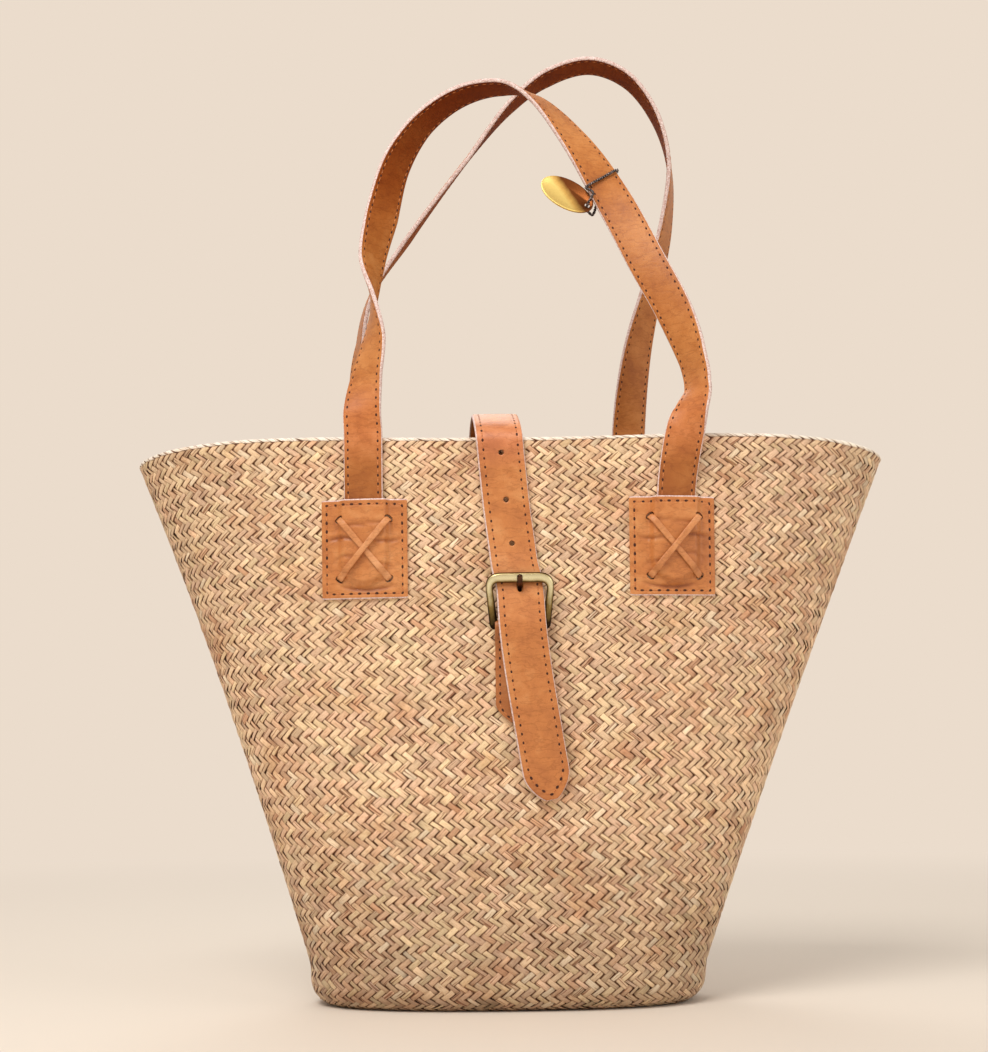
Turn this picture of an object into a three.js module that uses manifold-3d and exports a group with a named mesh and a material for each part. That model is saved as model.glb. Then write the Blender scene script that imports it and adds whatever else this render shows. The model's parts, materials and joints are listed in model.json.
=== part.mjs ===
// A straw beach tote: an oval woven basket with two leather shoulder straps, each laced on through
// four square patches, a buckled closing strap over the mouth and a small oval tag on a thread.
// Millimetres, +Z up, the front wall faces -Y, and the origin lies on the base, under the middle of
// the mouth.

import * as THREE from 'three';
import { mergeVertices } from 'three/addons/utils/BufferGeometryUtils.js';
import Module from 'manifold-3d';

const wasm = await Module();
wasm.setup();

// Basket
const BASE_HALF_WIDTH = 120.5;
const BASE_HALF_DEPTH = 60.5;
const RIM_HALF_WIDTH = 233.5;
const RIM_HALF_DEPTH = 88;
const RIM_HEIGHT = 332;
const RIM_SWELL = 3.4;
const RIM_END_DROP = 2.5;
const KICK_HEIGHT = 24;
const KICK_LEAN = 2;
const BASE_EDGE_RADIUS = 14;
const BASE_ASIDE = -5.3;
const LEAN_HEIGHT = 250;
const WALL = 4;
const WALL_HOLLOW = 2.8;
const OVAL_POWER = 2.5;
const RIM_BEAD_RADIUS = 3;
const BASKET_SEGMENTS = 56;
const WALL_ROWS = 5;

// Leather
const PLY = 1.5;
const PLY_GAP = 0.3;
const FIT = 0.35;
const STRAP_HALF_WIDTH = 10.9;
const STRAP_SPLIT = 1;
const STRAP_STEPS = 60;
const FOOT_STEPS = 9;

// Strap patches and their lacing
const PATCH_WIDTH = 50.5;
const PATCH_HEIGHT = 57.6;
const PATCH_THICKNESS = 1.6;
const PATCH_CORNER_EASE = 1.3;
const PATCH_BELOW_RIM = 64.2;
const PATCH_SLOPE_WIDTH = 5;
const FOOT_BELOW_PATCH_MIDDLE = 16;
const FOOT_END_ROOM = 1.5;
const LACE_WIDTH = 3.8;
const LACE_THICKNESS = 1.2;
const LACE_SPREAD_X = 14.4;
const LACE_SPREAD_Z = 17.2;
const LACE_TAIL = 7;
const LACE_STAND = 1;
const SLIT_CLEARANCE = 0.45;
const SLIT_ROOM = 3;
const LACE_BEND = 1.6;
const LACE_STEPS = 34;

// Closing strap
const CLOSURE_HALF_WIDTH = 13.1;
const CLOSURE_HOLE_RADIUS = 1.6;
const CLOSURE_HOLES_ABOVE_HEEL = [101, 73.5, 48];
const CLOSURE_SPLIT_BELOW_HEEL = 5;
const CLOSURE_STEPS = 50;
const CLOSURE_TAIL_STEPS = 16;
const CLOSURE_TIP_LENGTH = 17;
const CLOSURE_TIP_HALF_WIDTH = 3.2;

// Buckle
const HEEL_HEIGHT = 221.5;
const HEEL_STAND = 5.07;
const BUCKLE_X = 3.9;
const BUCKLE_LENGTH = 29;
const BUCKLE_OFF_WALL = 10.1;
const BUCKLE_TOP_HALF_WIDTH = 19.8;
const BUCKLE_HEEL_HALF_WIDTH = 17.25;
const BUCKLE_SIDE_BAR = 3.6;
const BUCKLE_TOP_BAR = 5.2;
const BUCKLE_BAR = 3.8;
const BUCKLE_EDGE = 1.1;
const PRONG_RADIUS = 1.15;
const PRONG_ROOM = 0.5;
const PRONG_CLEARANCE = 0.5;
const PRONG_STEPS = 32;
const BUCKLE_ROCK = 4;
const TAB_HALF_WIDTH = 13;
const TAB_DROP = 52.5;
const TAB_POINT_LENGTH = 11;
const TAB_POINT_HALF_WIDTH = 5;
const TAB_STEPS = 32;

// Tag and thread
const TAG_LENGTH = 35;
const TAG_WIDTH = 21;
const TAG_THICKNESS = 1.3;
const TAG_EDGE = 0.4;
const TAG_HOLE_RADIUS = 1.6;
const TAG_HOLE_INSET = 3.4;
const TAG_FROM_STRAP = new THREE.Vector3(-21.3, -4.2, -10.1);
const TAG_DROOP = 31;
const TAG_TURN = 20;
const THREAD_RADIUS = 0.65;
const THREAD_ABOVE_RIM = 164;
const THREAD_SLANT = 0.15;
const THREAD_STEPS = 48;

// Finishes
const straw = { color: 0xc9a878, roughness: 0.75, metalness: 0 };
const tan_leather = { color: 0xc4753a, roughness: 0.5, metalness: 0 };
const lace_leather = { color: 0xbd7440, roughness: 0.6, metalness: 0 };
const antique_brass = { color: 0x9a8348, roughness: 0.3, metalness: 1 };
const dark_bronze = { color: 0x3a241a, roughness: 0.35, metalness: 1 };
const polished_brass = { color: 0xe2bb55, roughness: 0.2, metalness: 1 };
const black_thread = { color: 0x120e10, roughness: 0.6, metalness: 0 };

const degrees = THREE.MathUtils.degToRad;
const lerp = THREE.MathUtils.lerp;
const smoothstep = THREE.MathUtils.smoothstep;
const tote = new THREE.Group();

function addPart(name, geometry, finish) {
  const mesh = new THREE.Mesh(geometry, new THREE.MeshStandardMaterial(finish));
  mesh.name = name;
  tote.add(mesh);
  return mesh;
}

function solidOf(geometry) {
  const bare = geometry.clone();
  bare.deleteAttribute('normal');
  bare.deleteAttribute('uv');
  const merged = mergeVertices(bare, 1e-4);
  return new wasm.Manifold(new wasm.Mesh({
    numProp: 3,
    vertProperties: new Float32Array(merged.attributes.position.array),
    triVerts: new Uint32Array(merged.index.array),
  }));
}

function geometryOf(solid) {
  const mesh = solid.getMesh();
  const geometry = new THREE.BufferGeometry();
  geometry.setAttribute('position', new THREE.BufferAttribute(mesh.vertProperties, 3));
  geometry.setIndex(new THREE.BufferAttribute(mesh.triVerts, 1));
  geometry.computeVertexNormals();
  return geometry;
}

function cutFrom(geometry, cutters) {
  return geometryOf(cutters.reduce((solid, cutter) => solid.subtract(solidOf(cutter)), solidOf(geometry)));
}

// The wall flares from an upright kick to the rim, slightly hollow in between.
function wallSize(z, base, rim, hollow) {
  if (z < KICK_HEIGHT) {
    return base - KICK_LEAN * (1 - z / KICK_HEIGHT);
  }
  const t = (z - KICK_HEIGHT) / (RIM_HEIGHT - KICK_HEIGHT);
  return lerp(base, rim, t) - 4 * hollow * t * (1 - t);
}

const wallHalfWidth = (z) => wallSize(z, BASE_HALF_WIDTH, RIM_HALF_WIDTH, WALL_HOLLOW);
const wallHalfDepth = (z) => wallSize(z, BASE_HALF_DEPTH, RIM_HALF_DEPTH, 0);

// The plaiting leans: towards the base, the middle of the basket drifts aside.
const wallMiddle = (z) => BASE_ASIDE * Math.max(0, 1 - z / LEAN_HEIGHT) ** 1.2;

// The rim rises a little between its middle and its ends, where it drops again.
function rimLift(x, z) {
  const c = Math.min(1, Math.abs(x) / wallHalfWidth(z)) ** 2;
  const share = Math.max(0, z / RIM_HEIGHT) ** 3;
  return (4 * RIM_SWELL * c * (1 - c) - RIM_END_DROP * c ** 3) * share;
}

// Distance of the wall's outside from the middle plane, at a place on the front or the back.
function wallDepth(x, z) {
  const row = Math.min(z - rimLift(x, z), RIM_HEIGHT);
  const aside = Math.abs((x - wallMiddle(row)) / wallHalfWidth(row));
  return wallHalfDepth(row) * (1 - aside ** OVAL_POWER) ** (1 / OVAL_POWER);
}

// How far the wall turns away from the middle there, in degrees seen from above.
function wallSlant(x, z) {
  const far = Math.abs(x) + 1;
  return THREE.MathUtils.radToDeg(Math.atan((wallDepth(far - 2, z) - wallDepth(far, z)) / 2));
}

function basketProfile() {
  const points = [{ z: 0, axis: true }];
  const row = (z, inset) => points.push({ z, inset });
  for (const angle of [0, 22.5, 45, 67.5, 90].map(degrees)) {
    row(BASE_EDGE_RADIUS * (1 - Math.cos(angle)), BASE_EDGE_RADIUS * (1 - Math.sin(angle)));
  }
  const top = RIM_HEIGHT - 2 * RIM_BEAD_RADIUS;
  for (let i = 0; i <= WALL_ROWS; i++) {
    row(lerp(KICK_HEIGHT, top, i / WALL_ROWS), 0);
  }
  for (let angle = -30; angle <= 210; angle += 40) {
    const a = degrees(angle);
    const middle = RIM_HEIGHT - RIM_BEAD_RADIUS;
    row(middle + RIM_BEAD_RADIUS * Math.sin(a), WALL / 2 - RIM_BEAD_RADIUS * Math.cos(a));
  }
  for (let i = WALL_ROWS; i >= 0; i--) {
    row(lerp(KICK_HEIGHT, top, i / WALL_ROWS), WALL);
  }
  const inner = BASE_EDGE_RADIUS - WALL;
  for (const angle of [60, 30, 0].map(degrees)) {
    row(WALL + inner * (1 - Math.cos(angle)), WALL + inner * (1 - Math.sin(angle)));
  }
  points.push({ z: WALL, axis: true });
  return points;
}

// The profile is turned as a lathe would, and each ring is then pressed into the basket's oval.
function basketShell() {
  const profile = basketProfile();
  const outline = profile.map((p) => new THREE.Vector2(p.axis ? 0 : 1, p.z));
  const shell = new THREE.LatheGeometry(outline, BASKET_SEGMENTS);
  const place = shell.attributes.position;
  for (let k = 0; k < place.count; k++) {
    const p = profile[k % profile.length];
    if (p.axis) {
      place.setXYZ(k, wallMiddle(p.z), 0, p.z);
      continue;
    }
    const turn = (2 * Math.PI * (Math.floor(k / profile.length) % BASKET_SEGMENTS)) / BASKET_SEGMENTS;
    const oval = (v) => Math.sign(v) * Math.abs(v) ** (2 / OVAL_POWER);
    const x = (wallHalfWidth(p.z) - p.inset) * oval(Math.cos(turn));
    const y = (wallHalfDepth(p.z) - p.inset) * oval(Math.sin(turn));
    place.setXYZ(k, x + wallMiddle(p.z), y, p.z + rimLift(x, p.z));
  }
  return shell;
}

// A strap's route: a curve through points [x, y, z], and the angle of the strap's width there.
// The angle 0 lays the strap flat to the front, and 90 turns its inner edge to the front.
class Route {
  constructor(points) {
    this.curve = new THREE.CatmullRomCurve3(points.map((p) => new THREE.Vector3(...p)));
    this.curve.arcLengthDivisions = 1200;
    this.turns = points.map((p) => p[3] ?? 0);
    this.length = this.curve.getLength();
  }

  turnAt(t) {
    const place = t * (this.turns.length - 1);
    const i = Math.min(Math.floor(place), this.turns.length - 2);
    return degrees(lerp(this.turns[i], this.turns[i + 1], place - i));
  }

  across(t, along) {
    const flat = new THREE.Vector3().crossVectors(along, new THREE.Vector3(0, -1, 0)).normalize();
    const front = new THREE.Vector3().crossVectors(flat, along);
    const turn = this.turnAt(t);
    return flat.multiplyScalar(Math.cos(turn)).addScaledVector(front, Math.sin(turn));
  }

  frame(u) {
    const t = this.curve.getUtoTmapping(THREE.MathUtils.clamp(u, 0, 1));
    const point = this.curve.getPoint(t);
    const along = this.curve.getTangent(t);
    const across = this.across(t, along);
    const out = new THREE.Vector3().crossVectors(across, along);
    return { point, along, across, out };
  }
}

// A closing strap, tab or lace is flat to the route, with its width in one fixed direction.
class FlatRoute extends Route {
  constructor(points, width = new THREE.Vector3(1, 0, 0)) {
    super(points);
    this.width = width;
  }

  across(t, along) {
    return this.width.clone().addScaledVector(along, -this.width.dot(along)).normalize();
  }
}

// A box's top and bottom are split along opposite diagonals. Twisted plies lie evenly on each other
// only if all are split alike, so the bottom's quads are split the other way.
function matchDiagonals(box) {
  const { start, count } = box.groups[3];
  const index = box.index;
  for (let i = start; i < start + count; i += 6) {
    const [a, b, c, d] = [index.getX(i), index.getX(i + 1), index.getX(i + 4), index.getX(i + 5)];
    [a, b, c, a, c, d].forEach((corner, k) => index.setX(i + k, corner));
  }
  return box;
}

// A leather strip laid along a route. It fills from low to high out of the route's surface.
// Its cells are evenly spaced, or closer together where a spacing function says so.
function ribbon(route, { from = 0, to = 1, steps, halfWidth, low, high, spacing = (s) => s }) {
  const strip = matchDiagonals(new THREE.BoxGeometry(1, 1, 1, 1, 1, steps));
  const place = strip.attributes.position;
  for (let k = 0; k < place.count; k++) {
    const u = lerp(from, to, spacing(place.getZ(k) + 0.5));
    const { point, across, out } = route.frame(u);
    const half = typeof halfWidth === 'function' ? halfWidth(u) : halfWidth;
    point.addScaledVector(across, 2 * half * place.getX(k));
    point.addScaledVector(out, lerp(low, high, 0.5 - place.getY(k)));
    place.setXYZ(k, point.x, point.y, point.z);
  }
  return strip;
}

const PLIES = {
  face: { low: PLY_GAP / 2, high: PLY_GAP / 2 + PLY },
  lining: { low: -PLY_GAP / 2 - PLY, high: -PLY_GAP / 2 },
};
const STRAP_HALF_THICKNESS = PLY_GAP / 2 + PLY;
const BEAD_PROUD = RIM_BEAD_RADIUS - WALL / 2;

// Shoulder straps. The points between the feet are where the leather stands when nobody holds it: how
// far aside, how far in from the rim, how far over the rim, and the turn of the strap's width there.
const STRAP_HINGE_HEIGHT = RIM_HEIGHT + 4;
const PATCH_HEIGHT_ON_WALL = RIM_HEIGHT - PATCH_BELOW_RIM;
const FOOT_HEIGHT = PATCH_HEIGHT_ON_WALL - FOOT_BELOW_PATCH_MIDDLE;
const FRONT_ARCH = [
  [-87, -1, 16, 12], [-85, 3.1, 36.7, 34], [-81, 7.8, 61, 52], [-81.4, 12.6, 86.4, 88],
  [-82.6, 17.4, 111.2, 126], [-76.8, 23, 141.5, 145], [-67.3, 30.5, 178.6, 130], [-50, 35.9, 206.6, 113],
  [-26.6, 39, 224.1, 102], [-1.9, 40, 229, 90], [17, 38.6, 221.8, 64], [42.1, 32.7, 191.2, 36],
  [66, 24.3, 147.3, 2], [83.2, 17, 109.6, -13], [98.4, 11, 77, -27], [108, 5.2, 47, -54],
  [109.8, 0.4, 29, -58], [105.4, -3.6, 14.5, -40],
];
const REAR_ARCH = [
  [-99.2, 0, 18, 4], [-100.4, 8.6, 56, 36], [-100.2, 17.7, 94.2, 75], [-92, 26.5, 126, 79],
  [-66.6, 35.5, 162.2, 85], [-26, 49.4, 213, 77], [4, 58.9, 246.9, 90], [28, 64, 264, 97],
  [56.6, 66.1, 271.4, 94], [81, 63.5, 262.6, 93], [99.8, 57, 239.8, 90], [109.8, 48, 208, 83],
  [107.8, 38, 171, 69], [98.8, 27.3, 131.3, 57], [88, 16, 86, 32], [82.6, 4, 39, 8],
];
const STRAPS = {
  front: {
    side: -1,
    feet: [{ x: -86.6, lean: 0, twist: 0 }, { x: 95, lean: 7.2, twist: -20 }],
    patches: [-86.4, 93.6],
    arch: FRONT_ARCH,
  },
  rear: {
    side: 1,
    feet: [{ x: -98, lean: 0, twist: 0 }, { x: 82, lean: 0, twist: 0 }],
    patches: [-98, 82],
    arch: REAR_ARCH,
  },
};

// The middle of a foot at a height: it leans aside more and more towards the rim.
function footAt(foot, z) {
  const risen = (z - FOOT_HEIGHT) / (STRAP_HINGE_HEIGHT - FOOT_HEIGHT);
  return foot.x + foot.lean * risen ** 3;
}

// A foot runs up the wall from under its patch and clears the rim bead where it leaves the wall.
function footPoints(foot, side) {
  const stack = FIT + STRAP_HALF_THICKNESS;
  const edge = STRAP_HALF_WIDTH * Math.abs(Math.sin(degrees(foot.twist)));
  const point = (z, off, twist) => {
    const x = footAt(foot, z);
    const row = Math.min(z, RIM_HEIGHT);
    return [x, side * (wallDepth(x, row) + stack + off), z, twist - side * wallSlant(x, row)];
  };
  return [
    point(FOOT_HEIGHT, 0, 0),
    point(PATCH_HEIGHT_ON_WALL + PATCH_HEIGHT / 2 + 3, 0.1, 0),
    point(RIM_HEIGHT - 14, 0.8 * BEAD_PROUD + 0.3 * edge, foot.twist / 3),
    point(STRAP_HINGE_HEIGHT, BEAD_PROUD + edge, foot.twist),
  ];
}

function strapRoute({ side, feet, arch }) {
  const stand = arch.map(([x, inward, up, turn]) => {
    return [x, side * (RIM_HALF_DEPTH - inward), RIM_HEIGHT + up, turn];
  });
  return new Route([...footPoints(feet[0], side), ...stand, ...footPoints(feet[1], side).reverse()]);
}

function shareAt(route, height, fromEnd) {
  const steps = 4000;
  let i = 0;
  while (i < steps && route.frame(fromEnd ? 1 - i / steps : i / steps).point.z < height) {
    i++;
  }
  return fromEnd ? 1 - i / steps : i / steps;
}

// The foot's hidden end is a half round.
function roundEnd(route, end) {
  const reach = STRAP_HALF_WIDTH / route.length;
  return (u) => {
    const s = Math.min(1, Math.abs(u - end) / reach);
    return STRAP_HALF_WIDTH * Math.sqrt(Math.max(0.05, 1 - (1 - s) ** 2));
  };
}

const strapRoutes = {};
for (const [place, strap] of Object.entries(STRAPS)) {
  const route = strapRoute(strap);
  strapRoutes[place] = route;
  const gap = STRAP_SPLIT / 2 / route.length;
  const left = shareAt(route, STRAP_HINGE_HEIGHT, false);
  const right = shareAt(route, STRAP_HINGE_HEIGHT, true);
  for (const [ply, layer] of Object.entries(PLIES)) {
    const name = `${place}_strap_${ply}`;
    const arch = { from: left + gap, to: right - gap, steps: STRAP_STEPS, halfWidth: STRAP_HALF_WIDTH };
    addPart(name, ribbon(route, { ...arch, ...layer }), tan_leather);
    const leftFoot = { from: 0, to: left - gap, steps: FOOT_STEPS, halfWidth: roundEnd(route, 0) };
    addPart(`${name}_foot_left`, ribbon(route, { ...leftFoot, ...layer }), tan_leather);
    const rightFoot = { from: right + gap, to: 1, steps: FOOT_STEPS, halfWidth: roundEnd(route, 1) };
    addPart(`${name}_foot_right`, ribbon(route, { ...rightFoot, ...layer }), tan_leather);
  }
}

// How far a patch stands off the wall: flat at its border, domed over the foot of its strap.
function patchLift(x, z, foot) {
  const footX = footAt(foot, z);
  const aside = Math.abs(x - footX) - STRAP_HALF_WIDTH;
  const below = Math.max(0, FOOT_HEIGHT + STRAP_HALF_WIDTH - FOOT_END_ROOM - z);
  const outside = below > 0 ? Math.hypot(Math.max(0, Math.abs(x - footX)), below) - STRAP_HALF_WIDTH : aside;
  const dome = 1 - smoothstep(outside, 0.8, PATCH_SLOPE_WIDTH);
  return FIT + dome * (2 * STRAP_HALF_THICKNESS + 2 * FIT);
}

const patchFront = (x, z, foot) => patchLift(x, z, foot) + PATCH_THICKNESS;

// Grid lines sit close together where the patch climbs over the strap's edges.
function patchColumns(middle, foot) {
  const edge = PATCH_WIDTH / 2;
  const rise = [STRAP_HALF_WIDTH + 0.8, STRAP_HALF_WIDTH + 2.6, STRAP_HALF_WIDTH + PATCH_SLOPE_WIDTH];
  const inner = [...rise.map((r) => -r).reverse(), -4, 4, ...rise].map((r) => foot.x - middle + r);
  return [-edge, ...inner, edge];
}

function patchRows() {
  const low = FOOT_HEIGHT - PATCH_HEIGHT_ON_WALL;
  const edge = PATCH_HEIGHT / 2;
  return [-edge, low - 5, low - 1, low + 2, low + 5, low + STRAP_HALF_WIDTH, edge / 2, edge];
}

function patchSheet(middle, foot, side) {
  const columns = patchColumns(middle, foot);
  const rows = patchRows();
  const sheet = new THREE.BoxGeometry(1, 1, 1, columns.length - 1, 1, rows.length - 1);
  const place = sheet.attributes.position;
  for (let k = 0; k < place.count; k++) {
    const column = Math.round((place.getX(k) + 0.5) * (columns.length - 1));
    const row = Math.round((place.getZ(k) + 0.5) * (rows.length - 1));
    const corner = (column % (columns.length - 1) === 0) && (row % (rows.length - 1) === 0);
    const ease = corner ? 1 - (2 * PATCH_CORNER_EASE) / PATCH_WIDTH : 1;
    const x = middle + columns[column] * ease;
    const z = PATCH_HEIGHT_ON_WALL + rows[row] * ease;
    const layer = (place.getY(k) < 0) === (side < 0) ? PATCH_THICKNESS : 0;
    place.setXYZ(k, x, side * (wallDepth(x, z) + patchLift(x, z, foot) + layer), z);
  }
  return sheet;
}

// A lace crosses its patch from slit to slit and is turned flat against the wall inside.
function laceRoute(foot, side, lean, lift) {
  const half = LACE_THICKNESS / 2;
  const from = new THREE.Vector2(foot.x - lean * LACE_SPREAD_X, PATCH_HEIGHT_ON_WALL + LACE_SPREAD_Z);
  const to = new THREE.Vector2(foot.x + lean * LACE_SPREAD_X, PATCH_HEIGHT_ON_WALL - LACE_SPREAD_Z);
  const along = to.clone().sub(from).normalize();
  const inside = (p) => wallDepth(p.x, p.y) - WALL - LACE_STAND - half;
  const outside = (p) => wallDepth(p.x, p.y) + patchFront(p.x, p.y, foot) + LACE_STAND + half;
  const at = (p, depth) => [p.x, side * depth, p.y];
  const shift = (p, d) => p.clone().addScaledVector(along, d);
  const front = [0.07, 0.16, 0.3, 0.5, 0.7, 0.84, 0.93].map((s) => {
    const p = from.clone().lerp(to, s);
    return at(p, outside(p) + lift * Math.sin(Math.PI * s));
  });
  const points = [
    at(shift(from, LACE_TAIL), inside(shift(from, LACE_TAIL))),
    at(shift(from, LACE_BEND * 1.4), inside(shift(from, LACE_BEND * 1.4))),
    at(from, inside(from) + LACE_BEND),
    at(from, wallDepth(from.x, from.y)),
    at(from, outside(from) - LACE_BEND / 5),
    ...front,
    at(to, outside(to) - LACE_BEND / 5),
    at(to, wallDepth(to.x, to.y)),
    at(to, inside(to) + LACE_BEND),
    at(shift(to, -LACE_BEND * 1.4), inside(shift(to, -LACE_BEND * 1.4))),
    at(shift(to, -LACE_TAIL), inside(shift(to, -LACE_TAIL))),
  ];
  const slope = Math.tan(degrees(wallSlant(foot.x, PATCH_HEIGHT_ON_WALL))) * Math.sign(foot.x);
  return new FlatRoute(points, new THREE.Vector3(-along.y, side * slope * along.y, along.x));
}

function slitCutter(x, z, side, lean) {
  const width = LACE_WIDTH + 2 * SLIT_CLEARANCE;
  const slit = new THREE.BoxGeometry(width, 30, LACE_THICKNESS + 2 * SLIT_CLEARANCE + SLIT_ROOM);
  slit.rotateY(lean * -Math.atan2(LACE_SPREAD_X, LACE_SPREAD_Z));
  slit.translate(x, side * wallDepth(x, z), z);
  return slit;
}

const slits = [];
for (const [place, { side, feet, patches }] of Object.entries(STRAPS)) {
  for (const [i, hand] of ['left', 'right'].entries()) {
    const middle = patches[i];
    const own = [];
    for (const lean of [1, -1]) {
      for (const end of [1, -1]) {
        const x = feet[i].x - lean * end * LACE_SPREAD_X;
        own.push(slitCutter(x, PATCH_HEIGHT_ON_WALL + end * LACE_SPREAD_Z, side, lean));
      }
      const half = LACE_THICKNESS / 2;
      const over = lean > 0 ? 0 : LACE_THICKNESS + FIT;
      const route = laceRoute(feet[i], side, lean, over);
      const strip = { steps: LACE_STEPS, halfWidth: LACE_WIDTH / 2, low: -half, high: half };
      const name = `${place}_lace_${hand}_${lean > 0 ? 'under' : 'over'}`;
      addPart(name, ribbon(route, strip), lace_leather);
    }
    addPart(`${place}_patch_${hand}`, cutFrom(patchSheet(middle, feet[i], side), own), tan_leather);
    slits.push(...own);
  }
}
addPart('woven_basket', cutFrom(basketShell(), slits), straw);

// The closing strap comes up the back, bridges the mouth and hangs down the front past the buckle.
const alongWall = (x, z, side, off) => [x, side * (wallDepth(x, z) + FIT + STRAP_HALF_THICKNESS + off), z];
// Each point by the heel bar says how far aside it is, how far over the heel bar and how far off the wall.
const CLOSURE_PAST_HEEL = [
  [-0.2, 47.5, 0.5], [1.4, 35, 2.6], [3.6, 25.5, 4.6], [4.5, 17, 6.5], [5, 7.5, 8.5], [5.5, 0, 9.8],
  [6.8, -12.5, 9.2], [9.3, -30.5, 7], [13.7, -57.5, 4.4], [17.6, -81, 2.1], [21.1, -99.3, 1],
];
const overRim = (x, y, up) => [x, y, RIM_HEIGHT + up];
const closureRoute = new FlatRoute([
  alongWall(-17, RIM_HEIGHT - 100, 1, 0), alongWall(-16.2, RIM_HEIGHT - 57, 1, 0.1),
  alongWall(-15.6, RIM_HEIGHT - 20, 1, 0.3), alongWall(-15.3, RIM_HEIGHT - 5, 1, 1.2),
  overRim(-15, RIM_HALF_DEPTH + 1.8, 2.5), overRim(-14.6, RIM_HALF_DEPTH - 3.5, 8),
  overRim(-13.8, RIM_HALF_DEPTH - 20, 14.5), overRim(-12.4, 0.364 * RIM_HALF_DEPTH, 21.5),
  overRim(-11, -0.09 * RIM_HALF_DEPTH, 23.5), overRim(-9.6, 40 - RIM_HALF_DEPTH, 20),
  overRim(-8.4, 12 - RIM_HALF_DEPTH, 11.5), overRim(-7.4, -RIM_HALF_DEPTH, 4.6),
  alongWall(-6.7, RIM_HEIGHT - 1.5, -1, 2.1), alongWall(-5.6, RIM_HEIGHT - 14, -1, 1),
  alongWall(-2.9, RIM_HEIGHT - 42, -1, 0.2),
  ...CLOSURE_PAST_HEEL.map(([x, up, off]) => alongWall(x, HEEL_HEIGHT + up, -1, off)),
], new THREE.Vector3(-1, 0, 0));
const closureSplit = shareAt(closureRoute, HEEL_HEIGHT - CLOSURE_SPLIT_BELOW_HEEL, true);
const closureGap = STRAP_SPLIT / 2 / closureRoute.length;

// Both ends of the closing strap draw in to a blunt rounded point.
function closureHalfWidth(u) {
  const fromTip = Math.min(u, 1 - u) * closureRoute.length;
  const s = Math.min(1, fromTip / CLOSURE_TIP_LENGTH);
  return lerp(CLOSURE_TIP_HALF_WIDTH, CLOSURE_HALF_WIDTH, Math.sin((s * Math.PI) / 2) ** 0.8);
}

// The buckle leans out from its heel bar, by a little more than the wall does.
const wallLean = Math.atan((RIM_HALF_DEPTH - BASE_HALF_DEPTH) / (RIM_HEIGHT - KICK_HEIGHT));
const buckleTilt = wallLean + degrees(BUCKLE_OFF_WALL);
const buckleUp = new THREE.Vector3(0, -Math.sin(buckleTilt), Math.cos(buckleTilt));
const heelDepth = wallDepth(BUCKLE_X, HEEL_HEIGHT) + HEEL_STAND;
const heel = new THREE.Vector3(BUCKLE_X, -heelDepth, HEEL_HEIGHT);

function roundedOutline(OutlineClass, corners) {
  const outline = new OutlineClass();
  corners.forEach(([x, y, radius], i) => {
    const corner = new THREE.Vector2(x, y);
    const towards = ([a, b]) => new THREE.Vector2(a, b).sub(corner).setLength(radius).add(corner);
    const before = towards(corners.at(i - 1));
    const after = towards(corners[(i + 1) % corners.length]);
    if (i === 0) {
      outline.moveTo(before.x, before.y);
    } else {
      outline.lineTo(before.x, before.y);
    }
    outline.quadraticCurveTo(corner.x, corner.y, after.x, after.y);
  });
  outline.closePath();
  return outline;
}

function buckleFrame() {
  const low = -BUCKLE_BAR / 2;
  const high = BUCKLE_LENGTH + BUCKLE_TOP_BAR / 2;
  const outer = roundedOutline(THREE.Shape, [
    [-BUCKLE_HEEL_HALF_WIDTH, low, 3.5], [BUCKLE_HEEL_HALF_WIDTH, low, 3.5],
    [BUCKLE_TOP_HALF_WIDTH, high, 8.5], [-BUCKLE_TOP_HALF_WIDTH, high, 8.5],
  ]);
  const heelInside = BUCKLE_HEEL_HALF_WIDTH - BUCKLE_SIDE_BAR;
  const topInside = BUCKLE_TOP_HALF_WIDTH - BUCKLE_SIDE_BAR;
  outer.holes.push(roundedOutline(THREE.Path, [
    [-heelInside, -low, 1.2], [-topInside, high - BUCKLE_TOP_BAR, 4.5],
    [topInside, high - BUCKLE_TOP_BAR, 4.5], [heelInside, -low, 1.2],
  ]));
  const frame = new THREE.ExtrudeGeometry(outer, {
    depth: BUCKLE_BAR - 2 * BUCKLE_EDGE,
    curveSegments: 5,
    bevelThickness: BUCKLE_EDGE,
    bevelSize: BUCKLE_EDGE,
    bevelOffset: -BUCKLE_EDGE,
    bevelSegments: 2,
  });
  return frame.translate(0, 0, -BUCKLE_BAR / 2 + BUCKLE_EDGE);
}
const frame = addPart('buckle_frame', buckleFrame(), antique_brass);
frame.position.copy(heel);
frame.rotation.x = Math.PI / 2 + buckleTilt;

// The prong loops under the heel bar, runs up behind the strap and hooks out over the top bar.
function prongPoints() {
  const loop = BUCKLE_BAR / 2 + PRONG_ROOM + PRONG_RADIUS;
  const points = [];
  for (let angle = 35; angle >= -180; angle -= 26.875) {
    const a = degrees(angle);
    points.push(new THREE.Vector3(0, -loop * Math.cos(a), loop * Math.sin(a)));
  }
  const top = buckleUp.clone().multiplyScalar(BUCKLE_LENGTH);
  return [
    ...points,
    new THREE.Vector3(0, 1.9, 7.5),
    new THREE.Vector3(0, -0.3, 18),
    new THREE.Vector3(0, top.y + 3.4, top.z - 6),
    new THREE.Vector3(0, top.y - loop + 0.3, top.z - 3),
    new THREE.Vector3(0, top.y - loop - 0.4, top.z + 1.2),
  ];
}

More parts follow.
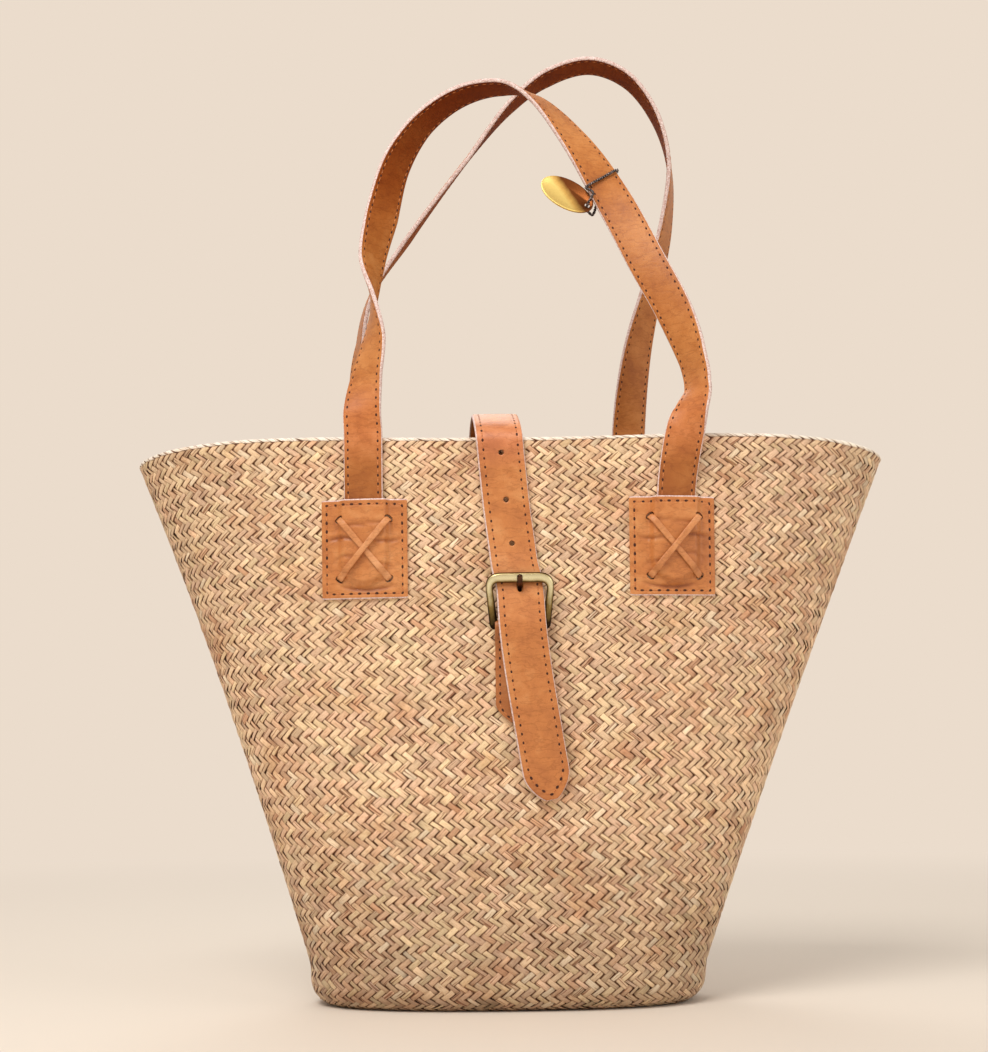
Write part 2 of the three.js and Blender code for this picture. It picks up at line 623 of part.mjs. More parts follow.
function prong(radius) {
  const path = new THREE.CatmullRomCurve3(prongPoints());
  const section = new THREE.Shape().absarc(0, 0, radius, 0, 2 * Math.PI);
  const options = { steps: PRONG_STEPS, curveSegments: 4, bevelEnabled: false, extrudePath: path };
  return new THREE.ExtrudeGeometry(section, options);
}
addPart('buckle_prong', prong(PRONG_RADIUS), dark_bronze).position.copy(heel);

// Punched holes, and the slot in which the prong lies at both ends of its small rock.
function closureCuts() {
  const cuts = CLOSURE_HOLES_ABOVE_HEEL.map((above) => {
    const { point, out } = closureRoute.frame(shareAt(closureRoute, HEEL_HEIGHT + above, true));
    const punch = new THREE.CylinderGeometry(CLOSURE_HOLE_RADIUS, CLOSURE_HOLE_RADIUS, 12, 12);
    punch.applyQuaternion(new THREE.Quaternion().setFromUnitVectors(new THREE.Vector3(0, 1, 0), out));
    return punch.translate(point.x, point.y, point.z);
  });
  for (const angle of [0, BUCKLE_ROCK / 2, BUCKLE_ROCK]) {
    const slot = prong(PRONG_RADIUS + PRONG_CLEARANCE).rotateX(degrees(angle));
    cuts.push(slot.translate(heel.x, heel.y, heel.z));
  }
  return cuts;
}

for (const [ply, layer] of Object.entries(PLIES)) {
  const shape = { halfWidth: closureHalfWidth, ...layer };
  const strip = ribbon(closureRoute, { to: closureSplit - closureGap, steps: CLOSURE_STEPS, ...shape });
  addPart(`closure_strap_${ply}`, cutFrom(strip, closureCuts()), tan_leather);
  const tail = ribbon(closureRoute, { from: closureSplit + closureGap, steps: CLOSURE_TAIL_STEPS, ...shape });
  addPart(`closure_tail_${ply}`, tail, tan_leather);
}

// The buckle tab is one strip folded round the heel bar, both its ends sewn to the wall.
function tabRoute() {
  const fold = BUCKLE_BAR / 2 + 1.4 * FIT + PLY / 2;
  const back = (z) => [BUCKLE_X, -(wallDepth(BUCKLE_X, z) + FIT + PLY / 2), z];
  const front = (z) => [BUCKLE_X, -(wallDepth(BUCKLE_X, z) + 2 * FIT + 1.5 * PLY), z];
  const around = [0, 45, 90, 135, 180, 210].map(degrees).map((a) => {
    return [BUCKLE_X, heel.y + fold * Math.cos(a), heel.z + fold * Math.sin(a)];
  });
  const neck = HEEL_HEIGHT - 3.6 * fold;
  const end = HEEL_HEIGHT - TAB_DROP;
  return new FlatRoute([
    back(end), back(lerp(end, neck, 0.55)), back(neck), ...around,
    front(neck), front(lerp(end, neck, 0.55)), front(end),
  ]);
}

function tab() {
  const route = tabRoute();
  const halfWidth = (u) => {
    const s = Math.min(1, (Math.min(u, 1 - u) * route.length) / TAB_POINT_LENGTH);
    return lerp(TAB_POINT_HALF_WIDTH, TAB_HALF_WIDTH, s);
  };
  const spacing = (s) => 0.5 + 4 * (s - 0.5) ** 3;
  const strip = ribbon(route, { steps: TAB_STEPS, halfWidth, low: -PLY / 2, high: PLY / 2, spacing });
  const slot = new THREE.BoxGeometry(2 * (PRONG_RADIUS + PRONG_CLEARANCE), 16, 11);
  return cutFrom(strip, [slot.translate(heel.x, heel.y, heel.z)]);
}
addPart('buckle_tab', tab(), tan_leather);

// The tag: an oval plate whose long axis droops to the right, turned to look up at the strap.
const tagLong = new THREE.Vector3(Math.cos(degrees(TAG_DROOP)), 0, -Math.sin(degrees(TAG_DROOP)));
const tagFace = new THREE.Vector3(0, -1, 0).applyAxisAngle(tagLong, degrees(-TAG_TURN));
const tagHoleAt = TAG_LENGTH / 2 - TAG_HOLE_INSET;

function tagPlate() {
  const oval = new THREE.Shape().absellipse(0, 0, TAG_LENGTH / 2, TAG_WIDTH / 2, 0, 2 * Math.PI);
  oval.holes.push(new THREE.Path().absarc(tagHoleAt, 0, TAG_HOLE_RADIUS, 0, 2 * Math.PI));
  return new THREE.ExtrudeGeometry(oval, {
    depth: TAG_THICKNESS - 2 * TAG_EDGE,
    curveSegments: 10,
    bevelThickness: TAG_EDGE,
    bevelSize: TAG_EDGE,
    bevelOffset: -TAG_EDGE,
    bevelSegments: 1,
  }).translate(0, 0, TAG_EDGE - TAG_THICKNESS / 2);
}
const tag = addPart('hang_tag', tagPlate(), polished_brass);
const tagShort = new THREE.Vector3().crossVectors(tagFace, tagLong);
tag.quaternion.setFromRotationMatrix(new THREE.Matrix4().makeBasis(tagLong, tagShort, tagFace));
const threaded = strapRoutes.front.frame(shareAt(strapRoutes.front, RIM_HEIGHT + THREAD_ABOVE_RIM, true));
const tagMiddle = threaded.point.clone().add(TAG_FROM_STRAP);
tag.position.copy(tagMiddle);

// One thread goes round the front strap and through the tag, its two ends meeting behind.
function threadPath() {
  const { point, along, across, out } = threaded;
  const side = STRAP_HALF_WIDTH + FIT + THREAD_RADIUS;
  const off = STRAP_HALF_THICKNESS + 1.4 * FIT + THREAD_RADIUS;
  const slanting = across.clone().addScaledVector(along, THREAD_SLANT);
  const round = (a, b) => point.clone().addScaledVector(slanting, a).addScaledVector(out, b);
  const hole = tagMiddle.clone().addScaledVector(tagLong, tagHoleAt);
  const through = (d) => hole.clone().addScaledVector(tagFace, d);
  return new THREE.CatmullRomCurve3([
    round(-5, -off), round(1.5 - side, -off), round(-side - 0.2, -0.6 * off), round(-side - 0.2, 0.6 * off),
    round(1.5 - side, off), round(0, off), round(side - 1.5, off), round(side + 0.4, 0.5 * off),
    through(5).add(new THREE.Vector3(2.5, 0, 5)), through(3), through(0.8), through(-0.8), through(-3),
    through(-4).add(new THREE.Vector3(4, 1.5, -3)),
    round(side - 4, -off - 1).add(new THREE.Vector3(4, 0, -8)),
    round(2, -off - 0.4), round(-3.6, -off),
  ]);
}

function thread() {
  const section = new THREE.Shape().absarc(0, 0, THREAD_RADIUS, 0, 2 * Math.PI);
  const options = { steps: THREAD_STEPS, curveSegments: 3, bevelEnabled: false, extrudePath: threadPath() };
  return new THREE.ExtrudeGeometry(section, options);
}
addPart('tag_thread', thread(), black_thread);

export default tote;
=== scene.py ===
# %% [markdown]
# # A straw beach tote with leather straps
# The tote is an oval basket plaited from flat straw, with two twisted shoulder straps, four laced
# patches, a buckled closing strap and a small oval tag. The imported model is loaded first: it gives
# the bodies that move, and every piece made here is fitted to it in metres.

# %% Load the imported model
import json
import math

import bpy
import numpy as np
from mathutils import Matrix, Vector

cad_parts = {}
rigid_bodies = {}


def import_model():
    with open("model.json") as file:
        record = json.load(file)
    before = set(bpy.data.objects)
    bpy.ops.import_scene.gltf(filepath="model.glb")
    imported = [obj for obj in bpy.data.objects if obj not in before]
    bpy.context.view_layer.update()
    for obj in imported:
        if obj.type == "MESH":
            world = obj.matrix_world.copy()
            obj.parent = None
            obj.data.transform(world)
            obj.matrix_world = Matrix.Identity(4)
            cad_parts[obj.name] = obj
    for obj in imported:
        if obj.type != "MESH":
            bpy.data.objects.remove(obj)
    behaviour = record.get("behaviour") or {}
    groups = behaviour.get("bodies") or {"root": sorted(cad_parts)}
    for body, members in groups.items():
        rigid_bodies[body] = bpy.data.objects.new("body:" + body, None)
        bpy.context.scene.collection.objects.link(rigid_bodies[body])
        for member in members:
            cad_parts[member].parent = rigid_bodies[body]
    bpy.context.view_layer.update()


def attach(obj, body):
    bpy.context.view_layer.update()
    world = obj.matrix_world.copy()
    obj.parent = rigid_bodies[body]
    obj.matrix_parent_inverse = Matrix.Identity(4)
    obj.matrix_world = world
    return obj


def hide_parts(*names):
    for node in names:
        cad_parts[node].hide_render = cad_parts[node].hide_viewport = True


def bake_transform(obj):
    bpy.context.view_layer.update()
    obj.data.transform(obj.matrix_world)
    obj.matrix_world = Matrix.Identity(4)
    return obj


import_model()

MM = 0.001
scene = bpy.context.scene

# %% [markdown]
# ## Camera
# The photograph was taken with a short telephoto lens a little above the base of the tote, tipped
# up by less than eight degrees and rolled by less than one. A matrix built from the three axes
# says this without any guessing about the order of turns.

# %% Camera
CAMERA_PLACE, PITCH, ROLL, LENS = (-0.0106, -1.090, 0.1455), 7.62, -0.65, 59.61
pitch, roll = math.radians(PITCH), math.radians(ROLL)
level = Vector((1, 0, 0))
upright = Vector((0, -math.sin(pitch), math.cos(pitch)))
backward = Vector((0, -math.cos(pitch), -math.sin(pitch)))
axes = Matrix((level * math.cos(roll) + upright * math.sin(roll),
               upright * math.cos(roll) - level * math.sin(roll), backward))
camera = bpy.data.objects.new("camera", bpy.data.cameras.new("camera"))
scene.collection.objects.link(camera)
camera.matrix_world = Matrix.Translation(CAMERA_PLACE) @ axes.transposed().to_4x4()
camera.data.sensor_width, camera.data.lens = 36, LENS
scene.camera = camera
scene.view_settings.view_transform = "Standard"
print("camera stands", round(-camera.location.y, 3), "m in front of the middle of the tote")

# %% [markdown]
# ## Light
# A photographer's soft daylight: one large lamp high at the front left, a weaker one from the other
# side and a pale world, so that every straw strand gets a light side and a dark side.

# %% Lamps
# Each lamp: its place, the height of the point it aims at, its size, its power and its tint.
LAMPS = {
    "window": ((-0.6, -1.3, 1.75), 0.2, 1.0, 31, (1, 0.985, 0.96)),
    "bounce": ((1.5, -1.0, 0.7), 0.25, 1.4, 7, (1, 0.98, 0.95)),
    "behind": ((-0.3, 1.3, 1.6), 0.35, 1.0, 9, (1, 0.99, 0.97))}
for name, (place, aim, size, power, tint) in LAMPS.items():
    lamp = bpy.data.objects.new(name, bpy.data.lights.new(name, "AREA"))
    scene.collection.objects.link(lamp)
    lamp.location = place
    view = Vector((0, 0, aim)) - Vector(place)
    lamp.rotation_euler = view.to_track_quat("-Z", "Y").to_euler()
    lamp.data.size, lamp.data.energy, lamp.data.color = size, power, tint
print("lamps:", len(LAMPS))

# %% [markdown]
# ## Helpers
# Operators act on whatever is selected, so each piece starts from a clean selection.
# Colours are written as they look on a screen and turned into the linear values shaders use.

# %% Selection and colour helpers
def only(piece):
    """Select and activate one object alone."""
    for other in list(bpy.context.selected_objects):
        other.select_set(False)
    piece.select_set(True)
    bpy.context.view_layer.objects.active = piece


def primitive(operator, name, **sizes):
    """Add one primitive with nothing else selected, and name it."""
    bpy.ops.object.select_all(action="DESELECT")
    operator(**sizes)
    piece = bpy.context.active_object
    piece.name = name
    return piece


def apply_all(piece):
    """Apply every modifier, so that the finished shape is in the mesh."""
    only(piece)
    for modifier in list(piece.modifiers):
        bpy.ops.object.modifier_apply(modifier=modifier.name)
    return piece


def linear(r, g, b):
    """Screen colour 0 to 255 as linear values."""
    return tuple((c / 255 / 12.92) if c / 255 <= 0.04045 else ((c / 255 + 0.055) / 1.055) ** 2.4
                 for c in (r, g, b))


def triangles(piece):
    piece.data.calc_loop_triangles()
    return len(piece.data.loop_triangles)


# %% Mesh helpers
def mesh_piece(name, points_mm, faces):
    """A mesh object from points in millimetres and a list of faces."""
    mesh = bpy.data.meshes.new(name)
    mesh.from_pydata((np.asarray(points_mm) * MM).tolist(), [], faces)
    piece = bpy.data.objects.new(name, mesh)
    scene.collection.objects.link(piece)
    mesh.shade_smooth()
    return piece


def paint(piece, name, values):
    """A grey mesh colour from one number for each point, or a colour from three."""
    values = np.asarray(values, float)
    rgba = np.ones((len(piece.data.vertices), 4))
    rgba[:, :3] = values if values.ndim > 1 else values[:, None]
    layer = piece.data.color_attributes.new(name=name, type="FLOAT_COLOR", domain="POINT")
    layer.data.foreach_set("color", rgba.ravel())


# %% [markdown]
# ## The basket's surface
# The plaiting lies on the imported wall, so its surface is written down here with the same sizes:
# an oval that flares from base to rim, with a rounded base edge. A place on it is a distance `u`
# aside from the middle of the front or back, measured round the basket, and a height `q`.
# A table of arc lengths makes floats of equal size everywhere, which is how real straw behaves.

# %% Basket sizes in millimetres
BASE_HALF = (120.5, 60.5)
RIM_HALF = (233.5, 88.0)
RIM_HEIGHT, KICK_HEIGHT, KICK_LEAN = 332.0, 24.0, 2.0
WALL, WALL_HOLLOW, OVAL_POWER, BASE_EDGE = 4.0, 2.8, 2.5, 14.0
RIM_SWELL, RIM_END_DROP, RIM_BEAD = 3.4, 2.5, 3.0
BASE_ASIDE, LEAN_HEIGHT = -5.3, 250.0
LOWEST_ROW = BASE_EDGE - BASE_EDGE * math.pi / 2


def half_size(z, axis):
    """Half the width (axis 0) or half the depth (axis 1) of the wall at a height."""
    share = (z - KICK_HEIGHT) / (RIM_HEIGHT - KICK_HEIGHT)
    base, rim = BASE_HALF[axis], RIM_HALF[axis]
    hollow = 4 * WALL_HOLLOW * share * (1 - share) if axis == 0 else 0
    flare = base + (rim - base) * share - hollow
    return np.where(z < KICK_HEIGHT, base - KICK_LEAN * (1 - z / KICK_HEIGHT), flare)


def wall_middle(z):
    """The plaiting leans: towards the base, the middle of the basket drifts aside."""
    return BASE_ASIDE * np.maximum(0, 1 - z / LEAN_HEIGHT) ** 1.2


def rim_lift(x, z):
    """The rim swells between its middle and its sides, and drops at the sides."""
    c = np.minimum(1, np.abs(x) / half_size(z, 0)) ** 2
    lift = 4 * RIM_SWELL * c * (1 - c) - RIM_END_DROP * c ** 3
    return lift * np.maximum(0, z / RIM_HEIGHT) ** 3


def wall_depth(x, z):
    """Distance of the wall's outside from the middle plane."""
    row = np.minimum(z - rim_lift(x, z), RIM_HEIGHT)
    aside = np.abs((x - wall_middle(row)) / half_size(row, 0))
    return half_size(row, 1) * (1 - aside ** OVAL_POWER) ** (1 / OVAL_POWER)


# %% Arc-length table
def arc_table():
    heights = np.linspace(LOWEST_ROW, RIM_HEIGHT, 160)
    turn = np.clip((BASE_EDGE - heights) / BASE_EDGE, 0, math.pi / 2)
    z = np.where(heights < BASE_EDGE, BASE_EDGE * (1 - np.sin(turn)), heights)
    inset = np.where(heights < BASE_EDGE, BASE_EDGE * (1 - np.cos(turn)), 0)
    angle = np.linspace(0, math.pi / 2, 500)
    shares = np.linspace(0, 1, 400)
    xs, ys, quarter = [], [], []
    for half_x, half_y in zip(half_size(z, 0) - inset, half_size(z, 1) - inset):
        x = half_x * np.sin(angle) ** (2 / OVAL_POWER)
        y = half_y * np.cos(angle) ** (2 / OVAL_POWER)
        run = np.concatenate([[0], np.cumsum(np.hypot(np.diff(x), np.diff(y)))])
        quarter.append(run[-1])
        xs.append(np.interp(shares, run / run[-1], x))
        ys.append(np.interp(shares, run / run[-1], y))
    return heights, z, np.array(xs), np.array(ys), np.array(quarter)


HEIGHTS, LEVELS, ARC_X, ARC_Y, QUARTER = arc_table()


def on_wall(face, u, q):
    """Points of the wall's outside; face is -1 on the front and 1 on the back."""
    u, q = np.broadcast_arrays(np.asarray(u, float), np.asarray(q, float))
    quarter = np.interp(q, HEIGHTS, QUARTER)
    beyond = np.abs(u) > quarter
    face = np.where(beyond, -face, face)
    u = np.where(beyond, u - np.sign(u) * 2 * quarter, u)
    level = np.clip((q - HEIGHTS[0]) / (HEIGHTS[1] - HEIGHTS[0]), 0, len(HEIGHTS) - 1.001)
    row = level.astype(int)
    up = level - row
    z = LEVELS[row] * (1 - up) + LEVELS[row + 1] * up
    share = np.clip(np.abs(u) / quarter * (ARC_X.shape[1] - 1), 0, ARC_X.shape[1] - 1.001)
    column = share.astype(int)
    aside = share - column

    def between(table):
        low = table[row, column] * (1 - aside) + table[row, column + 1] * aside
        high = table[row + 1, column] * (1 - aside) + table[row + 1, column + 1] * aside
        return low * (1 - up) + high * up

    x = -face * np.sign(u) * between(ARC_X)
    return np.stack([x + wall_middle(z), face * between(ARC_Y), z + rim_lift(x, z)], -1)


def off_wall(face, u, q, off):
    """Points at a distance off the wall, along its normal."""
    step = 0.4
    aside = on_wall(face, u + step, q) - on_wall(face, u - step, q)
    upward = on_wall(face, u, q + step) - on_wall(face, u, q - step)
    normal = np.cross(aside, upward)
    normal /= np.linalg.norm(normal, axis=-1, keepdims=True)
    return on_wall(face, u, q) + normal * np.asarray(off)[..., None]


print("quarter round the rim:", round(QUARTER[-1]), "mm, round the base:", round(QUARTER[20]), "mm")

# %% [markdown]
# ## Under-shell
# Between the outer and the inner floats a real plait holds the buried half of every strand. A thin
# dark shell stands for that: it shows only as the shadow in the gaps. It is one closed loft,
# ring by ring, from the middle of the base up the outside, over the rim and down the inside.

# %% Loft helper
def loft(name, rings, ends=None, closed=False):
    """Join rings of points into one skin; ends are two pole points that close it."""
    rings = np.asarray(rings, float)
    count, around = rings.shape[:2]
    faces = []
    for k in range(count if closed else count - 1):
        low, high = k * around, (k + 1) % count * around
        faces += [(low + i, low + (i + 1) % around, high + (i + 1) % around, high + i)
                  for i in range(around)]
    points = rings.reshape(-1, 3)
    if ends is not None:
        points = np.vstack([points, ends])
        first, last = len(points) - 2, (count - 1) * around
        faces += [(first, (i + 1) % around, i) for i in range(around)]
        faces += [(first + 1, last + i, last + (i + 1) % around) for i in range(around)]
    return mesh_piece(name, points, faces)


def oval_ring(q, off, around=160):
    """One ring round the basket at a height and a distance off the wall."""
    u = np.linspace(-1, 1, around // 2, endpoint=False) * np.interp(q, HEIGHTS, QUARTER)
    return np.vstack([off_wall(face, u, np.full(u.shape, float(q)), np.full(u.shape, float(off)))
                      for face in (-1, 1)])


# %% Under-shell
BEAD_BELOW, BEAD_HIGH, BEAD_WIDE = 1.9, 1.75, 2.35
SHELL_OUTSIDE, SHELL_INSIDE, SHELL_BOTTOM = -1.35, -2.65, LOWEST_ROW + 0.6


def bead(angle, grow):
    """Height and distance off the wall of a place round the rim's edge, angle 0 facing outward."""
    turn = np.radians(angle)
    return (RIM_HEIGHT - BEAD_BELOW + (BEAD_HIGH + grow) * np.sin(turn),
            -WALL / 2 + (BEAD_WIDE + grow) * np.cos(turn))


def bottom_rings(off, shares):
    """Rings of the flat base, drawn in towards its middle."""
    middle, ring = np.array([BASE_ASIDE, 0, 0]), oval_ring(SHELL_BOTTOM, off)
    return [middle + (ring - middle) * (share, share, 1) for share in shares]


def under_shell():
    low = (-6, -2, 3, 8, 14, 20)
    rings = bottom_rings(SHELL_OUTSIDE, (0.3, 0.6, 0.85))
    rings += [oval_ring(q, SHELL_OUTSIDE) for q in (*low, *np.linspace(28, 324, 28))]
    rings += [oval_ring(*bead(angle, -0.6)) for angle in range(-20, 201, 44)]
    rings += [oval_ring(q, SHELL_INSIDE) for q in (*np.linspace(324, 28, 28), *low[::-1])]
    rings += bottom_rings(SHELL_INSIDE, (0.85, 0.6, 0.3))
    poles = [(BASE_ASIDE, 0, -SHELL_OUTSIDE), (BASE_ASIDE, 0, -SHELL_INSIDE)]
    return loft("straw_under_shell", rings, poles)


shell = under_shell()
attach(shell, "basket")
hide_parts("woven_basket")
print("under-shell:", triangles(shell), "triangles")

# %% [markdown]
# ## One straw float
# Straw is plaited two over, two under on the slant, so what shows is a field of short floats.
# Each one is a flat strip, arched a little across, whose ends dive under the strands that cross
# it. It is modelled once from a grid and then copied.

# %% Model one float
def float_pattern(along, across, arch, dive):
    """A strip from -1 to 1 both ways with heights in millimetres, as points and faces."""
    strip = primitive(bpy.ops.mesh.primitive_grid_add, "float_pattern",
                      x_subdivisions=along, y_subdivisions=across, size=2)
    bpy.ops.object.mode_set(mode="EDIT")
    bpy.ops.mesh.select_all(action="SELECT")
    bpy.ops.mesh.region_to_loop()
    bpy.ops.mesh.edge_face_add()
    bpy.ops.object.mode_set(mode="OBJECT")
    for vertex in strip.data.vertices:
        x, y, _ = vertex.co
        # The flat middle is wide, so the arch is left to a narrow border on both sides.
        vertex.co.y = math.copysign(abs(y) ** 0.4, y)
        vertex.co.z = -arch * abs(vertex.co.y) ** 3 - dive * abs(x) ** 6
    points = np.array([v.co for v in strip.data.vertices])
    faces = [list(p.vertices) for p in strip.data.polygons]
    # The face that closes the underside is the one with the most corners. It has to look down.
    under = max(range(len(faces)), key=lambda k: len(faces[k]))
    if strip.data.polygons[under].normal.z > 0:
        faces[under].reverse()
    bpy.data.objects.remove(strip)
    return points, faces


OUTER_FLOAT = float_pattern(6, 3, 0.42, 1.3)
INNER_FLOAT = float_pattern(3, 2, 0.4, 0.9)
RIM_FLOAT = float_pattern(9, 3, 0.3, 0.45)
print("one outer float:", len(OUTER_FLOAT[0]), "points,", len(OUTER_FLOAT[1]), "faces")

# %% [markdown]
# ## The plait
# Two families of strands cross the wall, one rising to the right and one falling to the right.
# Each goes over two strands and under two, so a height `r` counted in crossings down from the rim
# decides which family is on top: that gives rows of parallel floats which lean one way, then the
# other. Every strand keeps its own straw, so its colour comes back in every second row.

# %% Straw colours
STRAW = np.array([linear(*colour) for colour in (
    (232, 201, 166), (227, 192, 162), (234, 207, 168),
    (221, 183, 150), (240, 218, 188), (208, 164, 130))])
STRAW_SHARE = (0.46, 0.22, 0.14, 0.115, 0.05, 0.015)
STRANDS, ODD_FLOATS = 200000, 0.3
chance = np.random.default_rng(7)


def straw_tint(strand, x, z):
    """Colours of floats from the strand each belongs to and where it lies, in millimetres."""
    kind = np.random.default_rng(11).choice(len(STRAW), STRANDS, p=STRAW_SHARE)[strand % STRANDS]
    other = chance.choice(len(STRAW), len(x), p=STRAW_SHARE)
    kind = np.where(chance.random(len(x)) < ODD_FLOATS, other, kind)
    shade = 1.05 + 0.09 * chance.standard_normal(len(x))
    # The straw is darker towards the base, and round the sides it is darkened as painted shade,
    # where the wall turns away from the light.
    darker_low_and_shaded_sides = np.clip((125 - z) / 120, 0, 1) * 0.38 + np.clip((np.abs(x) - 110) / 120, 0, 1) * 0.15
    return STRAW[kind] * np.clip(shade - darker_low_and_shaded_sides, 0.35, 1.25)[:, None]


def painted_side_shade(template, tint, depth=1.0):
    """Colours over each float with painted shade: reddish along both sides, more on one side than
    the other, and where its ends dive, with a faint painted gradient of light along it.
    """
    count = len(tint)
    side = np.abs(template[:, 1]) ** 6
    lower = 0.54 + 0.3 * chance.random((count, 1)) - 0.16 * template[:, 1]
    # Painted shade: the sides and the diving ends are darkened, less in red than in green and blue.
    edge_shade = depth * side * lower + 0.4 * np.abs(template[:, 0]) ** 8
    light_along = 1 + 0.1 * chance.standard_normal((count, 1)) * template[:, 0]
    return tint[:, None] * (light_along[..., None] - edge_shade[..., None] * (1, 1.16, 1.26))


# %% Copies of a pattern in one mesh
def field(name, pattern, points_mm, tint, uv):
    """points_mm and tint are (copies, points, 3) and uv is (copies, points, 2) in metres."""
    faces = pattern[1]
    count, size = points_mm.shape[:2]
    corners = np.concatenate([np.array(face) for face in faces])
    starts = np.cumsum([0] + [len(face) for face in faces[:-1]])
    index = (corners[None] + size * np.arange(count)[:, None]).ravel()
    mesh = bpy.data.meshes.new(name)
    mesh.vertices.add(count * size)
    mesh.vertices.foreach_set("co", (points_mm * MM).ravel())
    mesh.loops.add(len(index))
    mesh.loops.foreach_set("vertex_index", index)
    mesh.polygons.add(count * len(faces))
    first = starts[None] + len(corners) * np.arange(count)[:, None]
    mesh.polygons.foreach_set("loop_start", first.ravel())
    mesh.update(calc_edges=True)
    layer = mesh.uv_layers.new(name="UVMap")
    layer.data.foreach_set("uv", uv.reshape(-1, 2)[index].ravel())
    mesh.shade_smooth()
    mesh.set_sharp_from_angle(angle=math.radians(50))
    piece = bpy.data.objects.new(name, mesh)
    scene.collection.objects.link(piece)
    paint(piece, "tint", np.reshape(tint, (-1, 3)))
    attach(piece, "basket")
    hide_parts("woven_basket")
    return piece


# %% Rows of the plait
STRAND_PITCH, FLOAT_HALF_WIDTH = 5.8, 0.47
LEAN_RIGHT, LEAN_LEFT = 2.65, 3.15
PLAIT_TOP, SEAM_OVERLAP = RIM_HEIGHT - 2.8, 1.7


def row_step(z):
    """Vertical distance between one row of floats and the next."""
    return np.interp(z, [0, 60, 150, 250, 332], [4.5, 4.6, 5.0, 4.25, 4.1])


def row_heights():
    heights = [PLAIT_TOP]
    while heights[-1] > LOWEST_ROW:
        heights.append(heights[-1] - row_step(heights[-1]) / 4)
    return np.array(heights)


ROW_TABLE = row_heights()


def height_at(r):
    return np.interp(np.asarray(r, float) * 2, np.arange(len(ROW_TABLE)), ROW_TABLE)


def strand_sides(seed):
    """Where each strand begins along a row: hand-split straw differs in width."""
    sides = np.arange(-400.5, 401) * STRAND_PITCH
    return sides + 0.12 * STRAND_PITCH * np.random.default_rng(seed).standard_normal(len(sides))


def lattice(face, inside=False):
    """The floats on one face: middle u and q, lean, rise, strand number and width of the strand."""
    found = []
    last = len(ROW_TABLE) // 2 - 1
    for family, start, lean in ((0, 0.5, LEAN_RIGHT), (1, 2.5, -LEAN_LEFT)):
        sides = strand_sides(family + 2 * (face > 0) + 4 * inside)
        middle, width = (sides[1:] + sides[:-1]) / 2, np.diff(sides)
        for r in np.arange(3.0 - start if inside else start, last, 4):
            q = float(height_at(r))
            u = middle - lean * r
            keep = np.nonzero(np.abs(u) < np.interp(q, HEIGHTS, QUARTER) + SEAM_OVERLAP)[0]
            strand = keep + 1000 * family + 2000 * (face > 0) + 4000 * int(r // 36)
            rows = np.full(len(keep), q)
            found.append(np.stack([u[keep], rows, rows * 0 + lean, row_step(rows) / 2, strand,
                                   width[keep]], 1))
    return np.vstack(found)


print("rows of floats:", len(ROW_TABLE) // 4)

# %% Lay the floats on the wall
def wander(u, q):
    """Slow unevenness of the hand-plaited rows."""
    du = 0.9 * np.sin(q / 31 + u / 90) + 0.5 * np.sin(q / 13 - u / 47)
    dq = 0.7 * np.sin(u / 38 + q / 120) + 0.35 * np.sin(u / 15 + q / 40)
    return u + du, q + dq * np.clip((RIM_HEIGHT - q) / 20, 0, 1)


def lay_floats(face, pattern, inside):
    """Points, colours and coordinates along the straw for every float on one face."""
    u, q, lean, rise, strand, width = lattice(face, inside).T
    count = len(u)
    x, y, height = (pattern[0][None, :, k] for k in range(3))
    length = np.hypot(lean, rise)
    half_length = length + 1.35 + 0.3 * chance.random(count)
    half_width = FLOAT_HALF_WIDTH * width * rise / length
    turn = 0.035 * chance.standard_normal(count)
    ca, sa = lean / length, rise / length
    ca, sa = ca * np.cos(turn) - sa * np.sin(turn), ca * np.sin(turn) + sa * np.cos(turn)
    along, across = x * half_length[:, None], y * half_width[:, None]
    u, q = wander(u[:, None] + along * ca[:, None] - across * sa[:, None],
                  q[:, None] + along * sa[:, None] + across * ca[:, None])
    # No two floats lie quite level: each tilts a little and stands out by its own amount.
    tilt = y * (0.17 * chance.standard_normal(count))[:, None]
    off = height + 0.072 * chance.standard_normal(count)[:, None] + tilt
    off = -WALL - off if inside else 0.05 + off
    points = off_wall(face, u, np.clip(q, LOWEST_ROW, RIM_HEIGHT - 2.0), off)
    centre = points.mean(1)
    tint = painted_side_shade(pattern[0], straw_tint(strand.astype(int), centre[:, 0], centre[:, 2]))
    return points, tint, np.stack([along, across], -1) * MM + chance.random((count, 1, 2))


def flip(pattern):
    """The same float with its faces turned, for the side that is mirrored."""
    return pattern[0], [face[::-1] for face in pattern[1]]


def lay_wall():
    for side, face in (("front", -1), ("back", 1)):
        for layer, pattern, parts in (("outer", OUTER_FLOAT, 2), ("inner", INNER_FLOAT, 1)):
            inside = layer == "inner"
            points, tint, uv = lay_floats(face, pattern, inside)
            for k, chunk in enumerate(np.array_split(np.arange(len(points)), parts)):
                piece = field(f"straw_{layer}_{side}_{k}", flip(pattern) if inside else pattern,
                              points[chunk], tint[chunk], uv[chunk])
                print(piece.name, len(chunk), "floats,", triangles(piece), "triangles")


def base_spots(rise=2.3):
    """Middles of the floats on the flat base, with the lean and the rise of each."""
    half = [float(half_size(0.0, axis)) - BASE_EDGE + 1.5 for axis in (0, 1)]
    spots = []
    for lean, start in ((LEAN_RIGHT, 0.5), (-LEAN_LEFT, 2.5)):
        for r in start + 4 * np.arange(-8, 9):
            x = np.arange(-60, 60) * STRAND_PITCH - lean * r
            y = np.full_like(x, -r * rise)
            keep = (np.abs(x) / half[0]) ** OVAL_POWER + (np.abs(y) / half[1]) ** OVAL_POWER < 1
            spots.append(np.stack([x, y, 0 * x + lean, 0 * x + rise], 1)[keep])
    return np.vstack(spots).T


